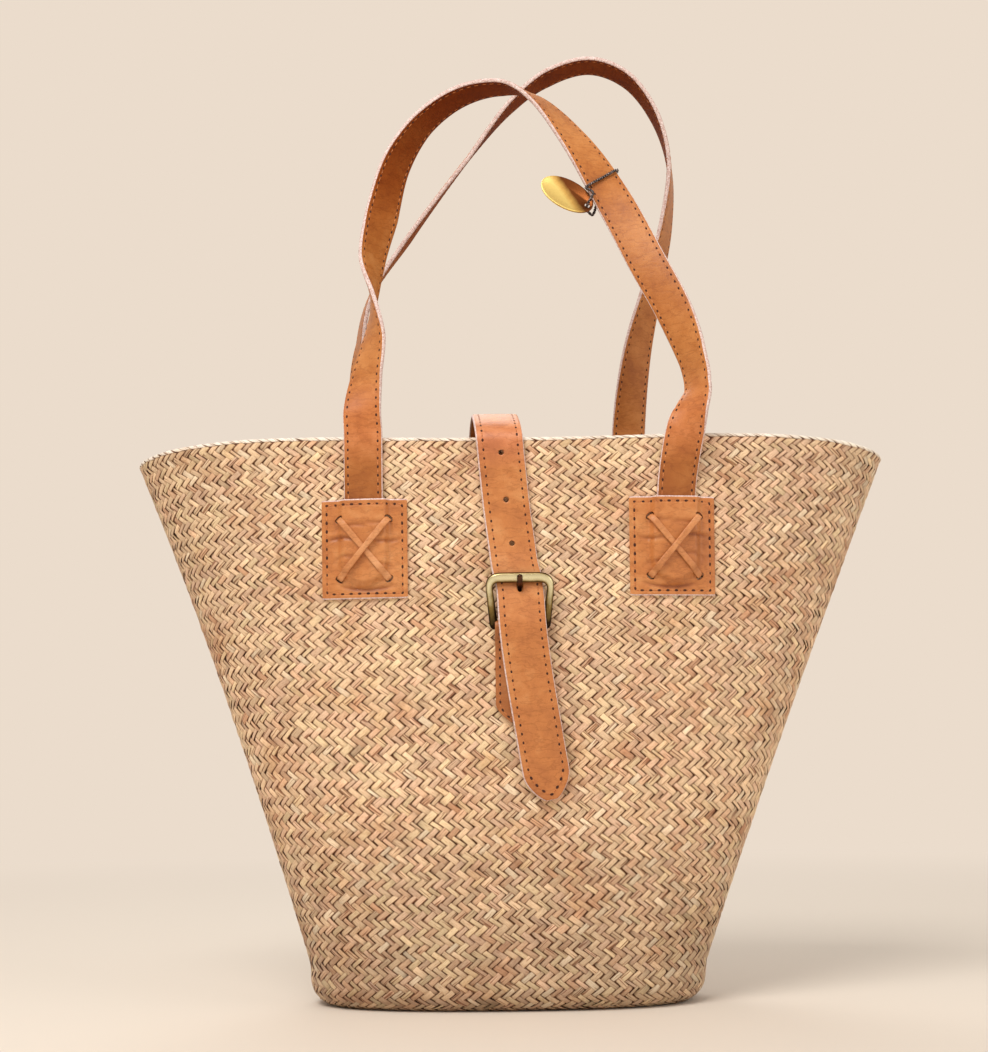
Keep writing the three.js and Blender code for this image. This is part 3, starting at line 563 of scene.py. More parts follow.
def lay_base():
    """The same plait laid flat: the underside of the base and the floor inside."""
    for side, pattern, level, up in (("under", OUTER_FLOAT, 0.0, -1),
                                     ("floor", INNER_FLOAT, WALL, 1)):
        x0, y0, lean, rise = base_spots()
        lean, rise, length = lean[:, None], rise[:, None], np.hypot(lean, rise)[:, None]
        along = pattern[0][None, :, 0] * (length + 1.4)
        across = pattern[0][None, :, 1] * (FLOAT_HALF_WIDTH * STRAND_PITCH * rise / length)
        x = x0[:, None] + (along * lean - across * rise) / length + BASE_ASIDE
        y = y0[:, None] + (along * rise + across * lean) / length
        points = np.stack([x, y, level + up * (pattern[0][None, :, 2] + 0 * x)], -1)
        tint = painted_side_shade(pattern[0], straw_tint(np.arange(len(x0)), x0, 0 * x0 + 60))
        uv = np.stack([along, across], -1) * MM + chance.random((len(x0), 1, 2))
        piece = field(f"straw_{side}_base", flip(pattern) if up < 0 else pattern, points, tint, uv)
        print(piece.name, len(x0), "floats,", triangles(piece), "triangles")


lay_wall()
lay_base()

# %% [markdown]
# ## Rim
# At the rim the strands are folded over a cord and leave again to the inside, so the top edge is
# a row of short straw bands that slant to the left.

# %% Rim bands
BAND_PITCH, BAND_HALF_WIDTH, BAND_SLANT, BAND_MIDDLE, BAND_REACH = 6.0, 3.3, 6.2, 92, 122
BAND_PALE = np.array(linear(252, 246, 236))


def rim_bands():
    x, y, height = (RIM_FLOAT[0][None, :, k] for k in range(3))
    for side, face in (("front", -1), ("back", 1)):
        number = int(round(2 * QUARTER[-1] / BAND_PITCH))
        u = (np.arange(number) + 0.5) / number * 2 * QUARTER[-1] - QUARTER[-1]
        half_width = BAND_HALF_WIDTH * (1 + 0.08 * chance.standard_normal(number))
        angle = BAND_MIDDLE + x * (BAND_REACH + 6 * chance.standard_normal(number))[:, None]
        slant = BAND_SLANT + 0.8 * chance.standard_normal(number)
        u = u[:, None] + y * half_width[:, None] - x * slant[:, None]
        q, off = bead(angle, height + 0.14 * y + 0.06 * chance.standard_normal(number)[:, None])
        # What stands higher than the wall's table reaches is lifted straight up.
        high = np.maximum(q - RIM_HEIGHT + 1.0, 0)
        points = off_wall(face, u, q - high, off)
        points[..., 2] += high
        centre = points.mean(1)
        tint = straw_tint(np.arange(number) + 9000 * face, centre[:, 0], centre[:, 2])
        tint = painted_side_shade(RIM_FLOAT[0], tint * 0.15 + BAND_PALE * 0.85, 1.3)
        uv = np.stack([x * 6 + 0 * u, y * half_width[:, None]], -1) * MM
        uv += chance.random((number, 1, 2))
        piece = field(f"straw_rim_{side}", RIM_FLOAT, points, tint, uv)
        print(piece.name, number, "bands,", triangles(piece), "triangles")


rim_bands()

# %% [markdown]
# ## Materials
# Nodes are made by one short helper. What several materials share is a node group that only gives
# out masks, values or colours: blotches of worn leather, fine grain, and scratches in metal.

# %% Node helpers
PLAIN = (1, 1, 1)


def add_node(tree, kind, inputs=None, **settings):
    """Make a node; inputs maps a socket's name or number to a value or to another output."""
    node = tree.nodes.new("ShaderNode" + kind)
    for name, value in settings.items():
        setattr(node, name, value)
    for key, value in (inputs or {}).items():
        socket = node.inputs[key]
        if isinstance(value, bpy.types.NodeSocket):
            tree.links.new(value, socket)
        else:
            socket.default_value = value
    return node


def ramp(tree, factor, stops):
    """A colour ramp; stops are pairs of a position and a linear colour."""
    node = add_node(tree, "ValToRGB", {"Fac": factor})
    elements = node.color_ramp.elements
    while len(elements) < len(stops):
        elements.new(0.5)
    for element, (position, colour) in zip(elements, stops):
        element.position = position
        element.color = (*colour, 1)
    return node.outputs["Color"]


def noise(tree, vector, scale, detail=3.0, roughness=0.55):
    inputs = {"Vector": vector, "Scale": scale, "Detail": detail, "Roughness": roughness}
    return add_node(tree, "TexNoise", inputs).outputs["Fac"]


def math_node(tree, operation, *values):
    return add_node(tree, "Math", dict(enumerate(values)), operation=operation).outputs[0]


def mix(tree, factor, first, second, mode="MIX"):
    node = add_node(tree, "Mix", data_type="RGBA", blend_type=mode)
    for key, value in ((0, factor), (6, first), (7, second)):
        if isinstance(value, bpy.types.NodeSocket):
            tree.links.new(value, node.inputs[key])
        else:
            node.inputs[key].default_value = (*value, 1) if key else value
    return node.outputs[2]


def stretched(tree, vector, scale):
    return add_node(tree, "Mapping", {"Vector": vector, "Scale": scale}).outputs["Vector"]


def bump(tree, height, strength, distance, below=None):
    inputs = {"Height": height, "Strength": strength, "Distance": distance}
    if below:
        inputs["Normal"] = below
    return add_node(tree, "Bump", inputs).outputs["Normal"]


def material(name, **constants):
    """A principled material, its tree and its shader; constants go on the shader's own sockets."""
    made = bpy.data.materials.new(name)
    made.use_nodes = True
    shader = made.node_tree.nodes["Principled BSDF"]
    for key, value in constants.items():
        socket = shader.inputs[key.replace("_", " ")]
        socket.default_value = (*value, 1) if isinstance(value, tuple) else value
    return made, made.node_tree, shader


def wire(tree, node, **outputs):
    """Feed outputs to a node's sockets; Base_Color stands for its socket Base Color."""
    for key, output in outputs.items():
        tree.links.new(output, node.inputs[key.replace("_", " ")])


def object_place(tree):
    return add_node(tree, "TexCoord").outputs["Object"]


def painted(tree, name):
    """The colour that was painted on the mesh under a name."""
    return add_node(tree, "VertexColor", layer_name=name).outputs["Color"]


def filtered(tree, colour, *filters):
    """A colour seen through filters, each given with its strength."""
    for strength, tone in filters:
        colour = mix(tree, strength, colour, tone, "MULTIPLY")
    return colour


# %% Shared effects
def effect(name, *outputs):
    """A node group that reads its own object coordinates and gives out numbers."""
    group = bpy.data.node_groups.new(name, "ShaderNodeTree")
    for output in outputs:
        group.interface.new_socket(output, in_out="OUTPUT", socket_type="NodeSocketFloat")
    return group, object_place(group), group.nodes.new("NodeGroupOutput")


def wear_effect():
    group, place, end = effect("leather_wear", "Blotch", "Grain", "Crease")
    wide, fine = noise(group, place, 22, 4, 0.62), noise(group, place, 120, 5, 0.65)
    blotch = math_node(group, "ADD", math_node(group, "MULTIPLY", wide, 0.62),
                       math_node(group, "MULTIPLY", fine, 0.38))
    cells = add_node(group, "TexVoronoi", {"Vector": place, "Scale": 1050.0},
                     feature="DISTANCE_TO_EDGE")
    pores = math_node(group, "MINIMUM", cells.outputs["Distance"], 0.18)
    grain = math_node(group, "ADD", math_node(group, "MULTIPLY", pores, 3.0),
                      noise(group, place, 700, 3, 0.6))
    lines = noise(group, stretched(group, place, (1, 1, 3.2)), 75, 4, 0.5)
    crease = math_node(group, "ABSOLUTE", math_node(group, "SUBTRACT", lines, 0.5))
    wire(group, end, Blotch=blotch, Grain=grain, Crease=crease)
    return group


def metal_effect():
    group, place, end = effect("metal_wear", "Patina", "Scratch")
    scratch = noise(group, stretched(group, place, (1, 1, 9)), 420, 3, 0.6)
    wire(group, end, Patina=noise(group, place, 260, 5, 0.7), Scratch=scratch)
    return group


LEATHER_WEAR, METAL_WEAR = wear_effect(), metal_effect()


def shared(tree, group):
    node = tree.nodes.new("ShaderNodeGroup")
    node.node_tree = group
    return node.outputs


# %% Straw
def straw_material():
    """The float's own colour, with fibres and splits along each straw and wide stains."""
    made, tree, shader = material("straw", Roughness=0.6, Specular_IOR_Level=0.35)
    flat = add_node(tree, "TexCoord").outputs["UV"]
    fibres = noise(tree, stretched(tree, flat, (0.14, 1, 1)), 2300, 3, 0.6)
    split = noise(tree, stretched(tree, flat, (0.05, 1, 1)), 800, 1, 0.4)
    stain = noise(tree, object_place(tree), 26, 5, 0.68)
    streak = ramp(tree, fibres, [(0.3, (0.74, 0.58, 0.48)), (0.46, (0.97, 0.96, 0.95)),
                                 (0.7, (1.1, 1.1, 1.09))])
    crack = ramp(tree, split, [(0.325, (0.36, 0.19, 0.12)), (0.365, PLAIN)])
    patches = ramp(tree, stain, [(0.34, (0.84, 0.7, 0.58)), (0.5, (1, 0.98, 0.95)),
                                 (0.62, (1.06, 1.06, 1.02))])
    colour = filtered(tree, painted(tree, "tint"), (1.0, streak), (0.8, crack), (0.85, patches))
    wire(tree, shader, Base_Color=colour, Normal=bump(tree, fibres, 0.35, 0.0004))
    return made


def shadow_material():
    made, tree, shader = material("straw_in_the_dark", Roughness=0.9)
    uneven = noise(tree, object_place(tree), 300)
    tone = ramp(tree, uneven, [(0.35, linear(92, 54, 37)), (0.65, linear(134, 86, 61))])
    wire(tree, shader, Base_Color=tone)
    return made


STRAW_MATERIAL, SHADOW_MATERIAL = straw_material(), shadow_material()


# %% Leather
def leather_material(name, dark, middle, light, heights, roughness=0.43, gloss=0.45):
    """Screen colours of the blotches, and pairs of a height in mm and a filter of painted light or
    shade, lowest first.
    """
    made, tree, shader = material(name, Specular_IOR_Level=gloss)
    wear = shared(tree, LEATHER_WEAR)
    colour = ramp(tree, wear["Blotch"], [(0.34, linear(*dark)), (0.5, linear(*middle)),
                                         (0.66, linear(*light))])
    # Painted shade in the folds' furrows: the crease colour painted on the patches darkens them.
    folded = ramp(tree, painted(tree, "crease"), [(0, PLAIN), (1, (0.62, 0.5, 0.42))])
    # Painted light and shade by height: the filters brighten or darken the colour between given
    # heights.
    place = add_node(tree, "SeparateXYZ", {0: object_place(tree)})
    lowest, highest = heights[0][0], heights[-1][0]
    above = math_node(tree, "SUBTRACT", place.outputs["Z"], lowest * MM)
    climb = math_node(tree, "DIVIDE", above, (highest - lowest) * MM)
    painted_light_by_height = ramp(tree, climb, [((z - lowest) / (highest - lowest), tone) for z, tone in heights])
    pores = ramp(tree, wear["Grain"], [(0.3, (0.6, 0.52, 0.46)), (0.8, PLAIN)])
    lines = ramp(tree, wear["Crease"], [(0.0, (0.7, 0.62, 0.56)), (0.035, PLAIN)])
    colour = filtered(tree, colour, (1.0, folded), (1.0, painted_light_by_height), (0.3, pores), (0.55, lines))
    uneven = math_node(tree, "MULTIPLY", wear["Blotch"], 0.24)
    rough = math_node(tree, "ADD", roughness - 0.12, uneven)
    folds = bump(tree, wear["Crease"], 0.25, 0.0006)
    wire(tree, shader, Base_Color=colour, Roughness=rough,
         Normal=bump(tree, wear["Grain"], 0.22, 0.0002, folds))
    return made


def edge_material():
    made, tree, shader = material("raw_edge", Roughness=0.85)
    fuzz = noise(tree, object_place(tree), 900, 4, 0.7)
    tone = ramp(tree, fuzz, [(0.35, linear(188, 148, 136)), (0.62, linear(238, 218, 212))])
    wire(tree, shader, Base_Color=tone, Normal=bump(tree, fuzz, 0.5, 0.0004))
    return made


# %% Colours of the leathers
# Painted light by height: a pale pinkish painted sheen where the leather bends over the rim, darker
# towards the patches on the straps and linings, and painted shade on the linings' tops, which face
# down.
BEND_SHEEN = [(312, PLAIN), (326, (1.1, 1.05, 1.45)), (338, (1.06, 1.0, 1.3)), (350, PLAIN)]
STRAP_BEND_SHEEN = [(292, (0.72, 0.66, 0.62)), (316, (0.86, 0.82, 0.8)), (334, (1.16, 1.12, 1.5)),
              (348, (1.2, 1.16, 1.4)), (372, PLAIN), (600, PLAIN)]
LINING_TOP_SHADE = [(292, (0.8, 0.78, 0.76)), (330, PLAIN), (420, PLAIN), (495, (0.5, 0.32, 0.2)),
                  (545, (0.34, 0.17, 0.09))]
LEATHER = leather_material("tan_leather", (172, 102, 54), (198, 124, 66), (216, 150, 92), BEND_SHEEN)
STRAP = leather_material("strap_leather", (158, 88, 38), (182, 110, 50), (202, 132, 70),
                         STRAP_BEND_SHEEN, gloss=0.35)
LINING = leather_material("lining_leather", (172, 102, 50), (196, 124, 62), (214, 148, 86),
                          LINING_TOP_SHADE, 0.7, 0.06)
# The buckle tab's leather is a darker copy of the tan leather, as painted shade for the strap's
# shadow on it.
SHADED_TAB = leather_material("tab_leather", (146, 84, 40), (174, 104, 52), (194, 126, 72), BEND_SHEEN)
LACE = leather_material("lace_leather", (176, 108, 62), (204, 134, 80), (224, 162, 112), BEND_SHEEN, 0.5)
EDGE = edge_material()
print("leathers:", [made.name for made in bpy.data.materials if "leather" in made.name])


# %% Thread and metal
def thread_material(name, dark, light, roughness, where=(0.38, 0.62)):
    """where gives the two noise values at which the thread is dark and light."""
    made, tree, shader = material(name, Roughness=roughness)
    strands = noise(tree, object_place(tree), 1600, 2, 0.5)
    tone = ramp(tree, strands, [(where[0], linear(*dark)), (where[1], linear(*light))])
    wire(tree, shader, Base_Color=tone, Normal=bump(tree, strands, 0.4, 0.0002))
    return made


def scratched(tree, shader, wear, tone, roughness, relief):
    """Finish a metal whose gloss is broken by fine scratches."""
    rough = math_node(tree, "ADD", roughness, math_node(tree, "MULTIPLY", wear["Scratch"], 0.2))
    wire(tree, shader, Base_Color=tone, Roughness=rough,
         Normal=bump(tree, wear["Scratch"], relief, 0.0002))


def bronze_material():
    made, tree, shader = material("dark_bronze", Metallic=1.0)
    wear = shared(tree, METAL_WEAR)
    tone = ramp(tree, wear["Patina"], [(0.42, linear(44, 28, 22)), (0.6, linear(92, 62, 46))])
    scratched(tree, shader, wear, tone, 0.26, 0.12)
    return made


def brass_material():
    """Antique brass: a dark patina, rubbed bright where the painted mesh colour is high; that colour
    also carries painted highlight and painted shade.
    """
    made, tree, shader = material("antique_brass", Metallic=1.0)
    wear = shared(tree, METAL_WEAR)
    uneven = math_node(tree, "MULTIPLY", math_node(tree, "SUBTRACT", wear["Patina"], 0.5), 0.45)
    shine = math_node(tree, "ADD", painted(tree, "polish_and_light"), uneven)
    tone = ramp(tree, shine, [(0.1, linear(42, 27, 19)), (0.45, linear(136, 114, 66)),
                              (0.9, linear(232, 224, 184))])
    wire(tree, shader, Base_Color=tone,
         Roughness=ramp(tree, shine, [(0.1, (0.55,) * 3), (0.8, (0.2,) * 3)]),
         Normal=bump(tree, wear["Scratch"], 0.1, 0.0002))
    return made


BRASS = brass_material()
STITCH = thread_material("stitch_thread", (168, 90, 40), (216, 140, 78), 0.6)
# The stitch holes are small dark dimples whose colour is painted shade, the shade inside a hole.
HOLE_SHADE = thread_material("stitch_hole", (46, 20, 11), (84, 40, 22), 0.9)
# The pale specks of the waxed thread are painted glints.
WAXED_WITH_GLINTS = thread_material("waxed_thread", (22, 12, 13), (176, 154, 150), 0.3, (0.52, 0.7))
BRONZE = bronze_material()
for piece in [o for o in scene.objects if o.name.startswith("straw_")]:
    piece.data.materials.append(SHADOW_MATERIAL if piece is shell else STRAW_MATERIAL)
print("materials:", len(bpy.data.materials))

# %% [markdown]
# ## Floor and backdrop
# A plain pale floor that fades into a plain pale backdrop, the same from every side. The backdrop
# is only seen, directly or in metal: what lights the tote is the quieter world and the lamps.

# %% World
BACKDROP, PAPER, SKY = linear(235, 220, 204), linear(224, 212, 198), (0.55, 0.534, 0.512)


def seen_rays(tree):
    """1 where the camera looks, directly or by way of something shiny or clear."""
    rays = add_node(tree, "LightPath").outputs
    shiny = math_node(tree, "MAXIMUM", rays["Is Glossy Ray"], rays["Is Transmission Ray"])
    return math_node(tree, "MAXIMUM", rays["Is Camera Ray"], shiny)


scene.world = bpy.data.worlds.new("daylight")
scene.world.use_nodes = True
sky = scene.world.node_tree
wire(sky, sky.nodes["Background"], Color=mix(sky, seen_rays(sky), SKY, BACKDROP))
print("world:", scene.world.name)


# %% Floor
FLOOR_HALF, FADE_FROM, FADE_TO = 8000, 0.45, 1.7


def paper_material():
    """Pale paper that turns into the backdrop's colour as it gets further from the tote."""
    made, tree, shader = material("paper", Base_Color=PAPER, Roughness=0.9)
    distance = add_node(tree, "VectorMath", {0: object_place(tree)}, operation="LENGTH")
    fade = {"Value": distance.outputs["Value"], "From Min": FADE_FROM, "From Max": FADE_TO}
    far = add_node(tree, "MapRange", fade, interpolation_type="SMOOTHSTEP").outputs["Result"]
    backdrop = add_node(tree, "Emission", {"Color": (*BACKDROP, 1)}).outputs[0]
    share = math_node(tree, "MULTIPLY", far, seen_rays(tree))
    both = add_node(tree, "MixShader", {0: share, 1: shader.outputs[0], 2: backdrop}).outputs[0]
    wire(tree, tree.nodes["Material Output"], Surface=both)
    return made


corners = [(x * FLOOR_HALF, y * FLOOR_HALF, 0) for x, y in ((-1, -1), (1, -1), (1, 1), (-1, 1))]
floor = mesh_piece("studio_floor", corners, [(0, 1, 2, 3)])
floor.data.materials.append(paper_material())
print("floor:", 2 * FLOOR_HALF * MM, "m square")

# %% [markdown]
# ## Routes
# A strap or a lace follows a smooth curve through measured points, the same curve as in the packed
# model, so that it lands on its feet and in its slits. A route gives, for places along it, the
# point, the direction along, the direction across and the direction out of the leather's face.

# %% Curve through points
def curve_points(points, t):
    """Centripetal Catmull-Rom curve through points at shares t of its parameter."""
    points = np.asarray(points, float)
    padded = np.vstack([2 * points[0] - points[1], points, 2 * points[-1] - points[-2]])
    place = np.clip(np.asarray(t, float), 0, 1) * (len(points) - 1)
    k = np.minimum(place.astype(int), len(points) - 2)
    w = (place - k)[:, None]
    p0, p1, p2, p3 = (padded[k + i] for i in range(4))
    d0, d1, d2 = (np.sqrt(np.linalg.norm(b - a, axis=1))[:, None]
                  for a, b in ((p0, p1), (p1, p2), (p2, p3)))
    m1 = ((p1 - p0) / d0 - (p2 - p0) / (d0 + d1) + (p2 - p1) / d1) * d1
    m2 = ((p2 - p1) / d1 - (p3 - p1) / (d1 + d2) + (p3 - p2) / d2) * d1
    return p1 + m1 * w + (3 * (p2 - p1) - 2 * m1 - m2) * w ** 2 + (2 * (p1 - p2) + m1 + m2) * w ** 3


def unit(vectors):
    return vectors / np.linalg.norm(vectors, axis=-1, keepdims=True)


class Route:
    """Turns are the angles of the width in degrees; without them the width keeps one direction."""

    def __init__(self, points, turns=None, width=(1, 0, 0)):
        self.points, self.width = np.asarray(points, float), np.asarray(width, float)
        self.turns = turns
        self.table = np.linspace(0, 1, 1201)
        steps = np.linalg.norm(np.diff(curve_points(self.points, self.table), axis=0), axis=1)
        self.run = np.concatenate([[0], np.cumsum(steps)])
        self.length = self.run[-1]

    def frame(self, s):
        """Point, along, across and out at distances s in millimetres from the start."""
        t = np.interp(s, self.run, self.table)
        point = curve_points(self.points, t)
        along = unit(curve_points(self.points, t + 1e-4) - curve_points(self.points, t - 1e-4))
        if self.turns is None:
            across = unit(self.width - along * (along @ self.width)[:, None])
        else:
            last = len(self.turns) - 1
            turn = np.radians(np.interp(t * last, range(last + 1), self.turns))
            flat = unit(np.cross(along, (0, -1, 0)))
            across = flat * np.cos(turn)[:, None] + np.cross(flat, along) * np.sin(turn)[:, None]
        return point, along, across, np.cross(across, along)

    def distance_at(self, height, from_end=False):
        """Distance along the route at which it first rises to a height, from either end."""
        s = np.linspace(0, self.length, 4001)
        z = self.frame(s)[0][:, 2]
        above = np.nonzero(z >= height)[0]
        return s[above[-1] if from_end else above[0]]


# %% [markdown]
# ## Leather strips
# A ply is a grid laid along its route. Its face is a little crowned, and it sinks along the two
# rows of stitches. Solidify gives it thickness with a raw, paler edge, and a bevel rounds that.

# %% Strip
PLY, PLY_GAP, FIT = 1.5, 0.3, 0.35
STRAP_HALF_WIDTH = 10.9
HALF_STACK = PLY_GAP / 2 + PLY


def crown(y, half, inset):
    """Height of the face over its own level at a distance y from the middle of the strip."""
    edge = half - np.abs(y)
    groove = 0.2 * np.exp(-((edge - inset) / 0.75) ** 2)
    roll = 0.25 * np.exp(-edge / 0.5)
    return -groove - roll - 0.12 * (y / half) ** 2


def grid(name, along, across):
    """A flat grid from -1 to 1 both ways, and its points as an array."""
    piece = primitive(bpy.ops.mesh.primitive_grid_add, name,
                      x_subdivisions=along, y_subdivisions=across, size=2)
    return piece, np.array([v.co[:] for v in piece.data.vertices])


def place_points(piece, points_mm):
    piece.data.vertices.foreach_set("co", (points_mm * MM).ravel())
    piece.data.update()
    piece.data.shade_smooth()


def thicken(piece, thickness, offset=-1, ease=0.22, pale_rim=False):
    """Give a sheet its thickness, a raw edge as its second material, and eased rims."""
    solid = piece.modifiers.new("thickness", "SOLIDIFY")
    solid.thickness = thickness * MM
    solid.offset = offset
    solid.use_even_offset = False
    solid.material_offset_rim = 1
    soft = piece.modifiers.new("eased_edges", "BEVEL")
    soft.width = ease * MM
    soft.segments = 2
    soft.limit_method = "ANGLE"
    soft.angle_limit = math.radians(50)
    soft.material = 1 if pale_rim else -1
    return apply_all(piece)


def ply_surface(route, half_width, inset, out_sign, level=HALF_STACK):
    """A function from distances along and aside to points of a ply's face and its normals."""
    def surface(s, y):
        point, _, across, out = route.frame(s)
        half = half_width(s) if callable(half_width) else half_width
        lift = level + crown(y, half, inset)
        return point + across * y[:, None] + out * (out_sign * lift)[:, None], out * out_sign

    return surface


def strip(name, route, half_width, out_sign, inset, leather, across=14, step=1.4,
          level=HALF_STACK, thickness=HALF_STACK - 0.02):
    """A ply all along a route, facing out_sign times the route's out."""
    piece, flat = grid(name, int(route.length / step), across)
    s = (flat[:, 0] + 1) / 2 * route.length
    # The cells are narrower near both edges, where the groove and the rolled edge are.
    y = np.sign(flat[:, 1]) * (1 - (1 - np.abs(flat[:, 1])) ** 1.6) * half_width(s)
    points, out = ply_surface(route, half_width, inset, out_sign, level)(s, y)
    place_points(piece, points)
    if piece.data.polygons[0].normal.dot(Vector(out[0])) < 0:
        piece.data.flip_normals()
    for made in (leather, EDGE):
        piece.data.materials.append(made)
    return thicken(piece, thickness)


# %% Tube along frames
def face_outwards(piece, weld=False):
    """Turn all faces outward; weld first joins a rolled grid's seam and closes its ends."""
    only(piece)
    bpy.ops.object.mode_set(mode="EDIT")
    bpy.ops.mesh.select_all(action="SELECT")
    if weld:
        bpy.ops.mesh.remove_doubles(threshold=1e-6)
        bpy.ops.mesh.fill_holes(sides=0)
        bpy.ops.mesh.select_all(action="SELECT")
    bpy.ops.mesh.normals_make_consistent(inside=False)
    bpy.ops.object.mode_set(mode="OBJECT")
    piece.data.shade_smooth()


def tube(name, frames, half_width, half_thickness, around=12, power=0.8, made=None):
    """A closed tube with an oval section; sizes may be one number or one for each ring."""
    point, _, across, out = frames
    piece, flat = grid(name, len(point) - 1, around)
    ring = np.round((flat[:, 0] + 1) / 2 * (len(point) - 1)).astype(int)
    angle = (flat[:, 1] + 1) * math.pi
    wide = np.sign(np.cos(angle)) * np.abs(np.cos(angle)) ** power
    thick = np.sign(np.sin(angle)) * np.abs(np.sin(angle)) ** power
    half_width = np.broadcast_to(half_width, len(point))[ring]
    half_thickness = np.broadcast_to(half_thickness, len(point))[ring]
    place_points(piece, point[ring] + across[ring] * (wide * half_width)[:, None]
                 + out[ring] * (thick * half_thickness)[:, None])
    face_outwards(piece, True)
    if made:
        piece.data.materials.append(made)
    return piece


# %% Raw edge
def raw_edge(name, route, path, bulge):
    """The cut side of a strap swells a little: a flat cord along a path of strap coordinates."""
    point, _, across, out = route.frame(path[:, 0])
    line = point + across * path[:, 1:]
    along = unit(np.gradient(line, axis=0))
    frames = line, along, unit(np.cross(out, along)), out
    return tube(name, frames, bulge, HALF_STACK - 0.45, 8, 0.7, EDGE)


# %% [markdown]
# ## Stitches
# A stitch is a short slug of thread that lies in the groove, and at each end it drops into a hole.
# One slug and one hole are modelled and then copied along the rows, each with its own mesh part.

# %% Stitch patterns
STITCH_PITCH, STITCH_SHORT, STITCH_SIDE, STITCH_RISE = 5.0, 0.8, 0.36, 0.3
HOLE_HALF = (1.15, 0.8, 0.16)


def ball_pattern(around, rings):
    """Points and faces of a ball of radius 1."""
    ball = primitive(bpy.ops.mesh.primitive_uv_sphere_add, "ball_pattern",
                     segments=around, ring_count=rings, radius=1)
    points = np.array([v.co[:] for v in ball.data.vertices])
    faces = [list(p.vertices) for p in ball.data.polygons]
    bpy.data.objects.remove(ball)
    return points, faces


SLUG, DIMPLE = ball_pattern(6, 5), ball_pattern(8, 4)


def copies(name, pattern, frames, size, made):
    """Copies of a pattern at frames of point, along, across and out; size is half lengths in mm."""
    point, along, across, out = frames
    shape = pattern[0] * size
    points = (point[:, None] + along[:, None] * shape[None, :, :1]
              + across[:, None] * shape[None, :, 1:2] + out[:, None] * shape[None, :, 2:])
    count, each = points.shape[:2]
    faces = [[k * each + corner for corner in face] for k in range(count) for face in pattern[1]]
    piece = mesh_piece(name, points.reshape(-1, 3), faces)
    piece.data.materials.append(made)
    return piece


def sew_on(name, surface, path, pitch, closed=False):
    """Stitches along a path of surface coordinates; surface gives points and outward normals."""
    path = np.asarray(path, float)
    if closed:
        path = np.vstack([path, path[:1]])
    run = np.concatenate([[0], np.cumsum(np.linalg.norm(np.diff(path, axis=0), axis=1))])
    count = max(2, round(run[-1] / pitch))
    spots = np.linspace(0, run[-1], count + 1)
    at = lambda s: surface(np.interp(s, run, path[:, 0]), np.interp(s, run, path[:, 1]))
    holes, out = at(spots)
    middle, up = at((spots[1:] + spots[:-1]) / 2)
    steps = np.diff(holes, axis=0)
    half, along = np.linalg.norm(steps, axis=1).mean() / 2, unit(steps)
    slug = (middle - up * 0.02, along, unit(np.cross(up, along)), up)
    size = (half - STITCH_SHORT, STITCH_SIDE, STITCH_RISE)
    thread = copies(f"{name}_thread", SLUG, slug, size, STITCH)
    if closed:
        holes, out = holes[:-1], out[:-1]
    lengthways = unit(np.gradient(holes, axis=0))
    hole = (holes + out * 0.02, lengthways, unit(np.cross(out, lengthways)), out)
    # The dark dimples stand for the holes' shade.
    return thread, copies(f"{name}_holes", DIMPLE, hole, HOLE_HALF, HOLE_SHADE)


# %% [markdown]
# ## Shoulder straps
# Each strap is two plies sewn along both edges. It comes out from under one patch, crosses the
# rim, twists as it arches and goes down under the other patch. Each ply is one piece from foot to
# foot.

# %% Strap sizes
PATCH_WIDTH, PATCH_HEIGHT, PATCH_THICKNESS = 50.5, 57.6, 1.6
PATCH_MIDDLE = RIM_HEIGHT - 64.2
FOOT_HEIGHT = PATCH_MIDDLE - 16
HINGE_HEIGHT = RIM_HEIGHT + 4
FRONT_ARCH = [
    (-87, -1, 16, 12), (-85, 3.1, 36.7, 34), (-81, 7.8, 61, 52), (-81.4, 12.6, 86.4, 88),
    (-82.6, 17.4, 111.2, 126), (-76.8, 23, 141.5, 145), (-67.3, 30.5, 178.6, 130),
    (-50, 35.9, 206.6, 113), (-26.6, 39, 224.1, 102), (-1.9, 40, 229, 90), (17, 38.6, 221.8, 64),
    (42.1, 32.7, 191.2, 36), (66, 24.3, 147.3, 2), (83.2, 17, 109.6, -13), (98.4, 11, 77, -27),
    (108, 5.2, 47, -54), (109.8, 0.4, 29, -58), (105.4, -3.6, 14.5, -40)]
REAR_ARCH = [
    (-99.2, 0, 18, 4), (-100.4, 8.6, 56, 36), (-100.2, 17.7, 94.2, 75), (-92, 26.5, 126, 79),
    (-66.6, 35.5, 162.2, 85), (-26, 49.4, 213, 77), (4, 58.9, 246.9, 90), (28, 64, 264, 97),
    (56.6, 66.1, 271.4, 94), (81, 63.5, 262.6, 93), (99.8, 57, 239.8, 90), (109.8, 48, 208, 83),
    (107.8, 38, 171, 69), (98.8, 27.3, 131.3, 57), (88, 16, 86, 32), (82.6, 4, 39, 8)]
# Each foot: x at its end, how far it leans aside at the rim, its twist there, and the patch's x.
STRAPS = {
    "front": (-1, [(-86.6, 0, 0, -86.4), (95, 7.2, -20, 93.6)], FRONT_ARCH),
    "rear": (1, [(-98, 0, 0, -98), (82, 0, 0, 82)], REAR_ARCH)}
FEET = [(place, side, hand, foot) for place, (side, feet, _) in STRAPS.items()
        for hand, foot in zip(("left", "right"), feet)]


def slant(x, z):
    """How far the wall turns away from the middle, in degrees seen from above."""
    far = abs(x) + 1
    return math.degrees(math.atan((wall_depth(far - 2, z) - wall_depth(far, z)) / 2))


def foot_at(foot, z):
    return foot[0] + foot[1] * ((z - FOOT_HEIGHT) / (HINGE_HEIGHT - FOOT_HEIGHT)) ** 3


